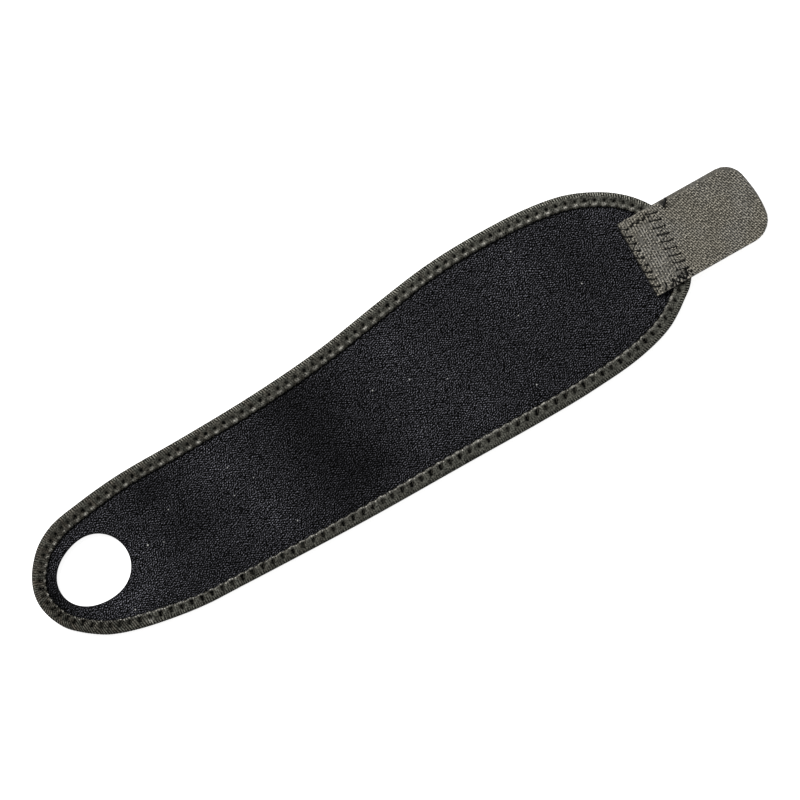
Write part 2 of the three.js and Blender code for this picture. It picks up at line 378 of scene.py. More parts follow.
class TabSettings(bpy.types.PropertyGroup):
    tape_dark: colour("Hook tape, deep", "Between the cords of the tape", "#24231f")
    tape_light: colour("Hook tape, raised", "The backs of the tape's cords", "#999487")
    tape_warm: colour("Hook tape, warm", "The cords where the tape has a warmer shade", "#9b9890")
    hook_colour: colour("Hooks", "The moulded hooks", "#c4beaf")
    thread: colour("Seam thread", "The dark thread of the seams", "#080706")
    spacing: length("Point spacing", "Distance between the points across the tape", 0.42)
    cord_pitch: length("Cord pitch", "Distance between the cords of the tape, drawn coarse to show", 0.98)
    root_cord_pitch: length("Root cord pitch", "That distance where the tape is sewn down", 1.28)
    cord_height: length("Cord height", "How far those cords stand out", 0.08)
    pitch_along: length("Hook pitch along", "Distance between hooks along the tape, drawn coarse", 1.53)
    pitch_across: length("Hook pitch across", "Distance between hooks across the tape, drawn coarse", 1.52)
    stagger: length("Stagger", "How far each line of hooks is shifted from the last", 0.44)
    hook_height: length("Hook height", "How far the hooks stand out of the tape", 0.9)
    hook_wire: length("Hook wire", "Thickness of the wire of a hook", 0.34)
    selvage: length("Selvage", "Bare strip along the upper edge", 1.7)
    free_margin: length("Free margin", "Bare strip along the free end", 1.2)
    side_margin: length("Side margin", "Bare strip along the lower edge and the sewn end", 0.15)
    seam_margin: length("Seam margin", "How far from a stitch the hooks are pressed flat", 0.5)
    # Seam needle holes are painted black with shade
    needle_radius: length("Seam needle hole", "Radius of a needle hole of the seams", 0.55)
    needle_blur: length("Seam needle hole's rim", "Width over which the hole's rim goes dark", 0.4)
    thread_thickness: length("Seam thread thickness", "Thickness of the seam thread", 0.48)


class StageSettings(bpy.types.PropertyGroup):
    floor: colour("Floor", "The pale ground", "#f9f9f9")
    floor_glow: number("Floor glow", "How brightly the ground is lit from below", 0.78)
    floor_size: length("Floor size", "Width of the ground", 24000.0)
    frame_width: length("View width", "Width of the ground that the picture shows", 368.5)
    lens: number("Lens", "Focal length in millimetres on a 36 mm sensor", 200.0)
    turn: bpy.props.FloatProperty(
        name="Turn", description="How far the brace climbs to the right in the picture",
        default=math.radians(29.5), subtype="ANGLE", unit="ROTATION",
    )
    centre_x: length("Centre along", "Point of the brace in the middle of the picture", 0.67)
    centre_y: length("Centre across", "Point of the brace in the middle of the picture", -4.22)
    key: number("Key light", "Watts of the soft light from the upper left of the picture", 92.0)
    key_reach: length("Key reach", "How far up and how far aside the key light hangs", 2100.0)
    key_size: length("Key size", "Width of the key light", 900.0)
    sky: number("Surround", "Strength of the even light from all round", 0.3)


def node(tree, kind, inputs=(), out=None, **settings):
    """Adds a node, sets it up and fills its inputs, in order or by name, with values or links.

    Gives the output that is asked for, or else the first.
    """
    made = tree.nodes.new(kind)
    for name, value in settings.items():
        setattr(made, name, value)
    usable = [socket for socket in made.inputs if socket.enabled]
    named = inputs if isinstance(inputs, dict) else dict(enumerate(inputs))
    for key, value in named.items():
        socket = made.inputs[key] if isinstance(key, int) else next(s for s in usable if s.name == key)
        if isinstance(value, bpy.types.NodeSocket):
            tree.links.new(value, socket)
        else:
            socket.default_value = value
    if out is not None:
        return made.outputs[out]
    return next((socket for socket in made.outputs if socket.enabled), None)


def smooth(share):
    """Eases from 0 to 1."""
    share = np.clip(share, 0, 1)
    return share * share * (3 - 2 * share)


def turn_of(first, second):
    """How far the second way on the plan turns left of the first."""
    return first[..., 0] * second[..., 1] - first[..., 1] * second[..., 0]


def outward(ring):
    """The way out of a closed anticlockwise ring, at each of its points."""
    ahead = np.roll(ring, -1, axis=0) - np.roll(ring, 1, axis=0)
    ahead /= np.linalg.norm(ahead, axis=1, keepdims=True)
    return np.stack([ahead[:, 1], -ahead[:, 0]], axis=1)


class Loop:
    """A smooth closed line through a ring of corners, read by the distance along it."""

    # Points of the line from one corner to the next, the fewest places that even gives, and how many points
    # nearest takes at once
    steps = 16
    fewest = 8
    batch = 2000

    def __init__(self, corners):
        a, b, c, d = (np.roll(corners, shift, axis=0)[:, None] for shift in (1, 0, -1, -2))
        t = (np.arange(self.steps) / self.steps)[None, :, None]
        bend = 2 * a - 5 * b + 4 * c - d
        twist = 3 * b - a - 3 * c + d
        points = (2 * b + (c - a) * t + bend * t ** 2 + twist * t ** 3) / 2
        self.points = points.reshape(-1, 2)
        self.closed = np.vstack([self.points, self.points[:1]])
        stride = np.linalg.norm(np.diff(self.closed, axis=0), axis=1)
        self.distance = np.concatenate([[0], np.cumsum(stride)])
        self.length = float(self.distance[-1])

    def at(self, distance):
        where = np.mod(distance, self.length)
        return np.stack([np.interp(where, self.distance, self.closed[:, k]) for k in (0, 1)], axis=-1)

    def inward(self, distance):
        reach = self.length / len(self.points)
        ahead = self.at(distance + reach) - self.at(distance - reach)
        ahead /= np.linalg.norm(ahead, axis=-1, keepdims=True)
        return np.stack([-ahead[..., 1], ahead[..., 0]], axis=-1)

    def inset(self, distance, inset):
        """Points at places along the line, moved in from it."""
        return self.at(distance) + self.inward(distance) * np.broadcast_to(inset, len(distance))[:, None]

    def even(self, spacing):
        """Distances of evenly spaced places along the line."""
        count = max(self.fewest, round(self.length / spacing))
        return np.arange(count) * self.length / count

    def nearest(self, points):
        """How far each point is from the line, and the distance along it there."""
        gaps, places = [], []
        for first in range(0, len(points), self.batch):
            apart = np.linalg.norm(points[first:first + self.batch, None] - self.points[None], axis=2)
            gaps.append(apart.min(axis=1))
            places.append(self.distance[apart.argmin(axis=1)])
        return np.concatenate(gaps), np.concatenate(places)


def corners_of(name):
    return np.array([vertex.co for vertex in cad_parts[name].data.vertices])


def ring_of(name, height):
    """A solid's corners at one height, in order and anticlockwise, from the one furthest along the brace."""
    corners = corners_of(name)
    level = corners[np.abs(corners[:, 2] - height) < LEVEL_SLACK, :2]
    level = np.unique(level.round(CORNER_DECIMALS), axis=0)
    order = [int(level[:, 0].argmax())]
    while len(order) < len(level):
        apart = np.linalg.norm(level - level[order[-1]], axis=1)
        apart[order] = np.inf
        order.append(int(apart.argmin()))
    ring = level[order]
    area = np.sum(turn_of(ring, np.roll(ring, -1, axis=0)))
    return ring if area > 0 else np.roll(ring[::-1], 1, axis=0)


EDGE_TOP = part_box("edge_binding")[1].z
EDGE_MIDDLE = EDGE_TOP / 2
# The fold of the tape is half round
FOLD_RADIUS = EDGE_MIDDLE
EDGE_CORNERS = ring_of("edge_binding", EDGE_MIDDLE)
EDGE = Loop(EDGE_CORNERS)
HOLE = Loop(ring_of("panel", HOLE_RING_HEIGHT))


def tape_widths():
    """The width of the tape at each corner of the outline, from the solid's lip."""
    corners = corners_of("edge_binding")
    top = corners[np.abs(corners[:, 2] - EDGE_TOP) < LEVEL_SLACK, :2]
    apart = np.linalg.norm(top[:, None] - EDGE_CORNERS[None], axis=2)
    nearest = apart.argmin(axis=1)
    return np.array([apart[nearest == i, i].max() for i in range(len(EDGE_CORNERS))])


TAPE_WIDTHS = tape_widths()


def along_edge(column, distance):
    """What the tables of the zigzag and of the tape's look say at a distance along the edge."""
    rows = ZIGZAG_ROWS if column in ZIGZAG_ROWS[0] else TAPE_TONE_ROWS
    places = [row["along"] * MM for row in rows]
    return np.interp(distance, places, [row[column] for row in rows], period=EDGE.length)


def lip_inset(distance):
    """How far in from the edge the lip of the tape lies."""
    places = EDGE.distance[::Loop.steps]
    width = np.interp(np.mod(distance, EDGE.length), places, np.append(TAPE_WIDTHS, TAPE_WIDTHS[0]))
    return width - along_edge("trim", distance) * MM


def needle_inset(distance):
    """How far in from the edge the needle row lies."""
    return along_edge("needle", distance) * lip_inset(distance)


def count_turns(places=4000):
    """Places all along the edge, and how many zigzags lie between the nose and each of them."""
    spots = np.linspace(0, EDGE.length, places)
    rate = 1 / (along_edge("pitch", spots) * MM)
    turns = np.concatenate([[0], np.cumsum((rate[1:] + rate[:-1]) / 2 * np.diff(spots))])
    return spots, turns * round(turns[-1]) / turns[-1]


TURN_SPOTS, TURNS = count_turns()


def stitch_turns(distance):
    """How many zigzags lie between the nose and a place. A whole number falls on a needle hole."""
    return np.interp(np.mod(distance, EDGE.length), TURN_SPOTS, TURNS)


def stitch_whims(turns):
    """Each trait of the needle hole that is nearest, as it differs from one hole to the next."""
    holes = round(TURNS[-1])
    nearest = np.round(turns).astype(int) % holes
    whims = {}
    for row in WHIM_ROWS:
        draws = np.random.default_rng(row["seed"]).uniform(-1, 1, holes)
        whims[row["trait"]] = row["middle"] + row["spread"] * draws[nearest]
    return whims


class Skin:
    """A closed skin of faces that is put together from rings and fields of points."""

    def __init__(self):
        self.points = []
        self.faces = []
        self.count = 0

    def add(self, plan, height):
        points = np.column_stack([plan, np.broadcast_to(height, len(plan))])
        indices = np.arange(self.count, self.count + len(points))
        self.points.append(points)
        self.count += len(points)
        return indices

    def band(self, first, second):
        """Quads between two closed rings of the same count, anticlockwise from above."""
        quads = np.stack([first, second, np.roll(second, -1), np.roll(first, -1)], axis=1)
        self.faces.extend(quads.tolist())

    def fill(self, indices, triangles, up):
        corners = indices[triangles if up else triangles[:, ::-1]]
        self.faces.extend(corners.tolist())

    def mesh(self, name):
        mesh = bpy.data.meshes.new(name)
        mesh.from_pydata(np.concatenate(self.points).tolist(), [], self.faces)
        mesh.shade_smooth()
        return mesh


def inside(polygon, points):
    """Which points lie inside a polygon."""
    found = np.zeros(len(points), bool)
    x, y = points.T
    for (ax, ay), (bx, by) in zip(polygon, np.roll(polygon, -1, axis=0)):
        if ay != by:
            crosses = (ay > y) != (by > y)
            found ^= crosses & (x < ax + (y - ay) * (bx - ax) / (by - ay))
    return found


def ringed(spots, radii):
    """Each spot and a ring of points round it, so that a mesh can be marked there."""
    turns = np.arange(RING_POINTS) * 2 * math.pi / RING_POINTS
    circle = np.stack([np.cos(turns), np.sin(turns)], axis=1)
    rings = spots[:, None] + radii[:, None, None] * circle
    return np.concatenate([spots, rings.reshape(-1, 2)])


def fill_plan(outline, holes, spacing, marks=np.empty((0, 2))):
    """Points and triangles that fill an outline outside its holes, and that take in the marks.

    The outline's own points come first, and then the holes'.
    """
    loops = [outline, *holes]
    low, high = outline.min(axis=0), outline.max(axis=0)
    rows = np.arange(low[1], high[1], spacing * math.sqrt(3) / 2)
    lines = [np.arange(low[0] + spacing / 2 * (i % 2), high[0], spacing) for i in range(len(rows))]
    field = np.array([(x, y) for y, line in zip(rows, lines) for x in line])
    fixed = np.concatenate([*loops, marks[inside(outline, marks)]])
    gaps = np.array([np.linalg.norm(fixed - point, axis=1).min() for point in field])
    clear = (gaps > FIELD_GAP * spacing) & inside(outline, field)
    for hole in holes:
        clear &= ~inside(hole, field)
    points = np.concatenate([fixed, field[clear]])
    edges, first = [], 0
    for loop in loops:
        edges += [(first + i, first + (i + 1) % len(loop)) for i in range(len(loop))]
        first += len(loop)
    made = delaunay_2d_cdt([Vector(point / MM) for point in points], edges, [], INSIDE_EDGES, SAME_POINT)
    plan = np.array(made[0]) * MM
    triangles = np.array(made[2])
    middles = plan[triangles].mean(axis=1)
    kept = np.ones(len(triangles), bool)
    for hole in holes:
        kept &= ~inside(hole, middles)
    triangles = triangles[kept]
    a, b, c = (plan[triangles[:, k]] for k in range(3))
    clockwise = turn_of(b - a, c - a) < 0
    triangles[clockwise] = triangles[clockwise][:, ::-1]
    return plan, triangles


def set_attribute(mesh, name, values, domain="POINT"):
    """Keeps one number, or one vector, for each point or edge of a mesh."""
    values = np.asarray(values, np.float32)
    vector = values.ndim == 2
    layer = mesh.attributes.new(name, "FLOAT_VECTOR" if vector else "FLOAT", domain)
    layer.data.foreach_set("vector" if vector else "value", values.ravel())


def in_scene(name, data):
    """A new object in the scene."""
    made = bpy.data.objects.new(name, data)
    bpy.context.scene.collection.objects.link(made)
    return made


def place(name, mesh, slot, *replaced):
    """Puts a piece in the scene on the brace's one body."""
    piece = in_scene(name, mesh)
    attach(piece, BODY)
    if replaced:
        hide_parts(*replaced)
    return piece


def plain_mesh(holder):
    """What an object looks like with its modifiers, as a plain mesh."""
    depsgraph = bpy.context.evaluated_depsgraph_get()
    return bpy.data.meshes.new_from_object(
        holder.evaluated_get(depsgraph), preserve_all_data_layers=True, depsgraph=depsgraph
    )


def grown(name, seed_mesh, tree, values):
    """The plain mesh that a node tree makes from a seed mesh. values gives the tree's inputs by name."""
    holder = in_scene(name, seed_mesh)
    modifier = holder.modifiers.new(name, "NODES")
    modifier.node_group = tree
    for item in tree.interface.items_tree:
        if item.in_out == "INPUT" and item.name in values:
            modifier[item.identifier] = values[item.name]
    mesh = plain_mesh(holder)
    mesh.name = name
    holder.modifiers.remove(modifier)
    bpy.data.objects.remove(holder)
    bpy.data.meshes.remove(seed_mesh)
    return mesh


def new_tree(name, inputs):
    """An empty Geometry Nodes tree with named inputs, and those inputs. inputs gives each one's kind."""
    tree = bpy.data.node_groups.new(name, "GeometryNodeTree")
    for label, kind in {"Geometry": "Geometry", **inputs}.items():
        tree.interface.new_socket(label, in_out="INPUT", socket_type="NodeSocket" + kind)
    tree.interface.new_socket("Geometry", in_out="OUTPUT", socket_type="NodeSocketGeometry")
    return tree, tree.nodes.new("NodeGroupInput").outputs


def close_tree(tree, geometry, material):
    """Ends a tree: instances become real, faces smooth, and the material is set."""
    real = node(tree, "GeometryNodeRealizeInstances", {"Geometry": geometry})
    soft = node(tree, "GeometryNodeSetShadeSmooth", {"Geometry": real})
    painted = node(tree, "GeometryNodeSetMaterial", {"Geometry": soft, "Material": material})
    node(tree, "NodeGroupOutput", {"Geometry": painted})


def rib_wave(tree, turns, weight):
    """The height of ribs across a tape, from -1 between them to 1 on their backs, times their weight."""
    angle = node(tree, "ShaderNodeMath", (turns, 2 * math.pi), operation="MULTIPLY")
    wave = node(tree, "ShaderNodeMath", (angle,), operation="COSINE")
    return node(tree, "ShaderNodeMath", (wave, weight), operation="MULTIPLY")


def ribbed_tape_tree():
    """Raises ribs across the tape, along its own normals, from the turns that each point holds."""
    tree, entry = new_tree("ribbed_tape", {"Rib Height": "Float", "Material": "Material"})
    turns, weight = (
        node(tree, "GeometryNodeInputNamedAttribute", {"Name": name}, data_type="FLOAT")
        for name in ("rib_turns", "rib_weight")
    )
    wave = rib_wave(tree, turns, weight)
    rise = node(tree, "ShaderNodeMath", (wave, entry["Rib Height"]), operation="MULTIPLY")
    normal = node(tree, "GeometryNodeInputNormal")
    offset = node(tree, "ShaderNodeVectorMath", {"Vector": normal, "Scale": rise}, operation="SCALE")
    moved = node(tree, "GeometryNodeSetPosition", {"Geometry": entry["Geometry"], "Offset": offset})
    close_tree(tree, moved, entry["Material"])
    return tree


def round_wire(tree, path, thickness, sides):
    """A round wire with closed ends along a path."""
    radius = node(tree, "ShaderNodeMath", (thickness, 0.5), operation="MULTIPLY")
    ring = node(tree, "GeometryNodeCurvePrimitiveCircle", {"Resolution": sides, "Radius": radius})
    return node(tree, "GeometryNodeCurveToMesh", {"Curve": path, "Profile Curve": ring, "Fill Caps": True})


def stitch_tree():
    """Lays one arched thread along each edge of a seam. The edge's up says which way the arch stands."""
    tree, entry = new_tree("zigzag_stitches", {
        "Thread Thickness": "Float", "Arch": "Float", "Seed": "Int", "Material": "Material",
    })
    ends = node(tree, "GeometryNodeInputMeshEdgeVertices").node.outputs
    along = node(tree, "ShaderNodeVectorMath", (ends["Position 2"], ends["Position 1"]),
                 operation="SUBTRACT")
    kept = node(tree, "GeometryNodeStoreNamedAttribute", {
        "Geometry": entry["Geometry"], "Name": "along", "Value": along,
    }, data_type="FLOAT_VECTOR", domain="EDGE")
    points = node(tree, "GeometryNodeMeshToPoints", {"Mesh": kept}, mode="EDGES")
    run, up = (
        node(tree, "GeometryNodeInputNamedAttribute", {"Name": name}, data_type="FLOAT_VECTOR")
        for name in ("along", "up")
    )
    turned = node(tree, "FunctionNodeAlignRotationToVector", {"Vector": run}, axis="X")
    upright = node(tree, "FunctionNodeAlignRotationToVector", {"Rotation": turned, "Vector": up},
                   axis="Z", pivot_axis="X")
    span = node(tree, "ShaderNodeVectorMath", (run,), out="Value", operation="LENGTH")
    slack = node(tree, "FunctionNodeRandomValue", {
        "Min": ARCH_SHARES[0], "Max": ARCH_SHARES[1], "Seed": entry["Seed"],
    }, data_type="FLOAT")
    scale = node(tree, "ShaderNodeCombineXYZ", (span, slack, slack))
    top = node(tree, "ShaderNodeCombineXYZ", {"Z": entry["Arch"]})
    arch = node(tree, "GeometryNodeCurveQuadraticBezier", {
        "Resolution": BEND_POINTS, "Start": (-0.5, 0, 0), "Middle": top, "End": (0.5, 0, 0),
    })
    thread = round_wire(tree, arch, entry["Thread Thickness"], THREAD_SIDES)
    laid = node(tree, "GeometryNodeInstanceOnPoints", {
        "Points": points, "Instance": thread, "Rotation": upright, "Scale": scale,
    })
    close_tree(tree, laid, entry["Material"])
    return tree


def hook_tree():
    """Stands hooks in staggered lines on the part of the tape that the seed mesh covers."""
    tree, entry = new_tree("hook_field", {
        "Columns": "Int", "Rows": "Int", "Middle": "Vector", "Pitch Along": "Float", "Pitch Across": "Float",
        "Stagger": "Float", "Hook Height": "Float", "Hook Wire": "Float", "Seed": "Int",
        "Material": "Material",
    })
    field = {}
    for axis, count, pitch in (("X", "Columns", "Pitch Along"), ("Y", "Rows", "Pitch Across")):
        size = node(tree, "ShaderNodeMath", (entry[count], entry[pitch]), operation="MULTIPLY")
        field["Size " + axis] = size
        field["Vertices " + axis] = node(tree, "ShaderNodeMath", (entry[count], 1), operation="ADD")
    grid = node(tree, "GeometryNodeMeshGrid", field)
    points = node(tree, "GeometryNodeMeshToPoints", {"Mesh": grid}, mode="VERTICES")
    spot_x = node(tree, "ShaderNodeSeparateXYZ", (node(tree, "GeometryNodeInputPosition"),))
    column = node(tree, "ShaderNodeMath", (spot_x, entry["Pitch Along"]), operation="DIVIDE")
    shift = node(tree, "ShaderNodeMath", (column, entry["Stagger"]), operation="MULTIPLY")
    shift = node(tree, "ShaderNodeMath", (shift, entry["Pitch Across"]), operation="FLOORED_MODULO")
    offset = node(tree, "ShaderNodeCombineXYZ", {"Y": shift})
    stray, sway = (
        node(tree, "FunctionNodeRandomValue", {"Min": -most, "Max": most, "Seed": entry["Seed"]},
             data_type="FLOAT_VECTOR")
        for most in (HOOK_STRAY, HOOK_SWAY)
    )
    for more in (stray, entry["Middle"]):
        offset = node(tree, "ShaderNodeVectorMath", (offset, more), operation="ADD")
    spread = node(tree, "GeometryNodeSetPosition", {"Geometry": points, "Offset": offset})
    hit, down = (
        node(tree, "GeometryNodeRaycast", {
            "Target Geometry": entry["Geometry"], "Ray Direction": (0, 0, -1), "Ray Length": 1.0,
        }, out=found)
        for found in ("Is Hit", "Hit Position")
    )
    missed = node(tree, "FunctionNodeBooleanMath", (hit,), operation="NOT")
    on_tape = node(tree, "GeometryNodeDeleteGeometry", {"Geometry": spread, "Selection": missed},
                   domain="POINT")
    seated = node(tree, "GeometryNodeSetPosition", {"Geometry": on_tape, "Position": down})
    facing = node(tree, "FunctionNodeRandomValue", {"Min": 0, "Max": 1, "Seed": 5}, data_type="INT")
    half_turn = node(tree, "ShaderNodeMath", (facing, math.pi), operation="MULTIPLY")
    heading = node(tree, "ShaderNodeCombineXYZ", {"Z": half_turn})
    turn = node(tree, "ShaderNodeVectorMath", (sway, heading), operation="ADD")
    back, reach, crown, tip = (
        node(tree, "ShaderNodeMath", (entry["Hook Height"], share), operation="MULTIPLY")
        for share in HOOK_SHARES
    )
    bend = node(tree, "GeometryNodeCurvePrimitiveBezierSegment", {
        "Resolution": BEND_POINTS,
        "Start": node(tree, "ShaderNodeCombineXYZ", {"X": back}),
        "Start Handle": node(tree, "ShaderNodeCombineXYZ", {"X": back, "Z": crown}),
        "End Handle": node(tree, "ShaderNodeCombineXYZ", {"X": reach, "Z": crown}),
        "End": node(tree, "ShaderNodeCombineXYZ", {"X": reach, "Z": tip}),
    })
    hook = round_wire(tree, bend, entry["Hook Wire"], HOOK_SIDES)
    stood = node(tree, "GeometryNodeInstanceOnPoints", {
        "Points": seated, "Instance": hook, "Rotation": turn,
    })
    close_tree(tree, stood, entry["Material"])
    return tree


def new_material(name):
    """An empty material, its tree, and the place on the brace that its patterns follow."""
    material = bpy.data.materials.new(name)
    material.use_nodes = True
    tree = material.node_tree
    tree.nodes.clear()
    return material, tree, node(tree, "ShaderNodeTexCoord", out="Object")


def surfaced(material, surface):
    """The material with its surface shader. surface gives what goes into the shader, by socket name."""
    shader = node(material.node_tree, "ShaderNodeBsdfPrincipled", surface)
    node(material.node_tree, "ShaderNodeOutputMaterial", {"Surface": shader})
    return material


def mottle(tree, spot, size, detail, low, high, wide=(0.3, 0.7), **settings):
    """Blotches of one size, and the uneven shade that they give, from low to high."""
    blotch = node(tree, "ShaderNodeTexNoise", {"Vector": spot, "Scale": 1 / size, "Detail": detail},
                  **settings)
    shade = node(tree, "ShaderNodeMapRange", {
        "Value": blotch, "From Min": wide[0], "From Max": wide[1], "To Min": low, "To Max": high,
    })
    return blotch, shade


def knit_backs(tree, spot, lean, own):
    """The backs of knit stitches, where two sets of wavering rows cross: 0 between them, over 1 on top.

    own is noise that makes each stitch stand a little higher or lower.
    """
    rows = []
    for turn in (lean - KNIT_CROSSING, lean + KNIT_CROSSING):
        lie = node(tree, "ShaderNodeMapping", {"Vector": spot, "Rotation": (0, 0, turn)},
                   vector_type="TEXTURE")
        rows.append(node(tree, "ShaderNodeTexWave", {
            "Vector": lie, "Scale": WAVE_TURN / KNIT_ROW,
            "Distortion": 5.0, "Detail": 1.0, "Detail Scale": 1.2,
        }, out=1, wave_type="BANDS", bands_direction="Y"))
    both = node(tree, "ShaderNodeMath", rows, operation="ADD")
    both = node(tree, "ShaderNodeMath", (own, STITCH_OWN, both), operation="MULTIPLY_ADD")
    return node(tree, "ShaderNodeMapRange", {
        "Value": both, "From Min": BACKS_SHOW[0], "From Max": BACKS_SHOW[1], "To Max": 1.3,
    })


def knit_face(dark, light, lint_tone):
    """Nylon jersey laminated on foam rubber, the skin side.

    Short backs of the knit's stitches catch the light as dashes on black: their paleness is partly their own
    and partly painted sheen. They run along the brace, and aslant in patches, and are painted paler or
    deeper where the nap lies one way or the other, as painted sheen and shade, and black beside the lip
    of the tape as its painted shadow. The stitches are drawn about twice as coarse as knitted, so that
    they show.
    """
    material, tree, spot = new_material("nylon jersey on foam")
    drift = node(tree, "ShaderNodeTexNoise", {"Vector": spot, "Scale": 1 / (6 * MM), "Detail": 2.0},
                 out="Color", noise_dimensions="2D")
    bent = node(tree, "ShaderNodeVectorMath", (drift, (1.2 * MM, 1.2 * MM, 0), spot),
                operation="MULTIPLY_ADD")
    patch = node(tree, "ShaderNodeTexNoise", {"Vector": spot, "Scale": 1 / (9 * MM), "Detail": 1.0},
                 noise_dimensions="2D")
    patch = node(tree, "ShaderNodeMapRange", {"Value": patch, "From Min": 0.48, "From Max": 0.58},
                 interpolation_type="SMOOTHSTEP")
    own, shade = mottle(tree, spot, 0.5 * MM, 0.0, 0.5, 1.5, noise_dimensions="2D")
    along, aslant = (knit_backs(tree, bent, lean, own) for lean in (0.0, PATCH_LEAN))
    dash = node(tree, "ShaderNodeMix", {"Factor": patch, "A": along, "B": aslant}, data_type="FLOAT")
    # nap holds painted sheen and shade in soft patches, and the painted shadow beside the tape's lip
    nap, lint = (
        node(tree, "ShaderNodeAttribute", out="Fac", attribute_name=name) for name in ("nap", "lint")
    )
    shade = node(tree, "ShaderNodeMath", (nap, shade), operation="MULTIPLY")
    lit = node(tree, "ShaderNodeMath", (dash, shade), operation="MULTIPLY")
    tint = node(tree, "ShaderNodeMix", {"Factor": lit, "A": (*dark, 1), "B": (*light, 1)}, **COLOUR_MIX)
    tint = node(tree, "ShaderNodeMix", {"Factor": lint, "A": tint, "B": (*lint_tone, 1)}, **COLOUR_MIX)
    grain = node(tree, "ShaderNodeBump", {"Height": dash, "Strength": 0.6, "Distance": 0.2 * MM})
    return surfaced(material, {
        "Base Color": tint, "Normal": grain, "Roughness": 0.75, "Specular IOR Level": 0.02,
    })


def loop_face(dark, light):
    """Brushed loop knit on foam rubber, the outside that the hooks grip: a dull, fuzzy black nap."""
    material, tree, spot = new_material("brushed loop knit")
    fuzz = node(tree, "ShaderNodeTexNoise", {
        "Vector": spot, "Scale": 1 / (0.7 * MM), "Detail": 4.0, "Roughness": 0.7, "Distortion": 1.2,
    })
    lit = node(tree, "ShaderNodeMapRange", {"Value": fuzz, "From Min": 0.35, "From Max": 0.85})
    tint = node(tree, "ShaderNodeMix", {"Factor": lit, "A": (*dark, 1), "B": (*light, 1)}, **COLOUR_MIX)
    nap = node(tree, "ShaderNodeBump", {"Height": fuzz, "Strength": 0.8, "Distance": 0.3 * MM})
    return surfaced(material, {
        "Base Color": tint, "Normal": nap, "Roughness": 0.95, "Specular IOR Level": 0.08,
        "Sheen Weight": 0.03,
    })


def cut_foam(dark):
    """Foam rubber cut with a die: black, dull, with the pores of the foam along the cut."""
    material, tree, spot = new_material("cut foam rubber")
    pores = node(tree, "ShaderNodeTexVoronoi", {"Vector": spot, "Scale": 1 / (0.35 * MM)})
    lit = node(tree, "ShaderNodeMapRange", {"Value": pores, "To Min": 0.6, "To Max": 1.5})
    tint = node(tree, "ShaderNodeVectorMath", {"Vector": tuple(dark), "Scale": lit}, operation="SCALE")
    pitted = node(tree, "ShaderNodeBump", {"Height": pores, "Strength": 0.6, "Distance": 0.12 * MM})
    return surfaced(material, {
        "Base Color": tint, "Normal": pitted, "Roughness": 0.9, "Specular IOR Level": 0.08,
    })


def ribbed_tape(dark, light, brown, pale):
    """Polyester binding tape: olive-grey ribs across it, gone brown in places, and painted black with shade
    in the needle holes and their pockets.

    It takes painted highlights where it stands up beside the holes and along the lip where that faces the
    light, and its tone holds painted shade at the edge of its fold and along its needle row. A pale fleck
    is mixed in with the highlights.
    """
    material, tree, spot = new_material("polyester binding tape")
    turns, weight, press_and_shade, tone, brown_share, highlight_and_fleck = (
        node(tree, "ShaderNodeAttribute", out="Fac", attribute_name=name)
        for name in ("rib_turns", "rib_weight", "press_and_shade", "tone", "brown", "highlight_and_fleck")
    )
    lit = node(tree, "ShaderNodeMapRange", {
        "Value": rib_wave(tree, turns, weight), "From Min": -1.0, "To Min": -0.5, "To Max": 1.4,
    })
    yarn, own = mottle(tree, spot, 0.7 * MM, 1.0, 0.0, 2.3)
    worn = mottle(tree, spot, 3 * MM, 3.0, 0.7, 1.3)[1]
    for factor in (own, worn):
        lit = node(tree, "ShaderNodeMath", (lit, factor), operation="MULTIPLY")
    lit = node(tree, "ShaderNodeMath", (lit, 0.0), operation="MAXIMUM")
    lit = node(tree, "ShaderNodeMath", (lit, tone), operation="MULTIPLY")
    faded = node(tree, "ShaderNodeTexNoise", {"W": turns, "Scale": 0.35, "Detail": 2.0},
                 noise_dimensions="1D")
    faded = node(tree, "ShaderNodeMapRange", {
        "Value": faded, "From Min": 0.35, "From Max": 0.65, "To Max": 2.0,
    })
    faded = node(tree, "ShaderNodeMath", (faded, brown_share), operation="MULTIPLY", use_clamp=True)
    # Painted highlights on the puffs and the lit lip, and the pale fleck
    highlight_and_fleck = node(tree, "ShaderNodeMath", (highlight_and_fleck, worn), operation="MULTIPLY")
    face = node(tree, "ShaderNodeMix", {"Factor": faded, "A": (*light, 1), "B": (*brown, 1)}, **COLOUR_MIX)
    face = node(tree, "ShaderNodeMix", {"Factor": highlight_and_fleck, "A": face, "B": (*pale, 1)}, **COLOUR_MIX)
    tint = node(tree, "ShaderNodeMix", {"Factor": lit, "A": (*dark, 1), "B": face}, **COLOUR_MIX)
    # Painted shade: the needle holes and their pockets go black
    tint = node(tree, "ShaderNodeMix", {"Factor": press_and_shade, "A": tint, "B": PITCH_BLACK}, **COLOUR_MIX)
    grain = node(tree, "ShaderNodeBump", {"Height": yarn, "Strength": 0.5, "Distance": 0.12 * MM})
    return surfaced(material, {
        "Base Color": tint, "Normal": grain, "Roughness": 0.8, "Specular IOR Level": 0.03,
    })


def spun_thread(name, tone):
    """Spun polyester thread: twisted fibres that shine a little, uneven in shade along their length."""
    material, tree, spot = new_material(name)
    ply, shade = mottle(tree, spot, 0.5 * MM, 2.0, 0.45, 1.3)
    tint = node(tree, "ShaderNodeVectorMath", {"Vector": tuple(tone), "Scale": shade}, operation="SCALE")
    grain = node(tree, "ShaderNodeBump", {"Height": ply, "Strength": 0.5, "Distance": 0.08 * MM})
    return surfaced(material, {
        "Base Color": tint, "Normal": grain, "Roughness": 0.6, "Specular IOR Level": 0.2,
    })


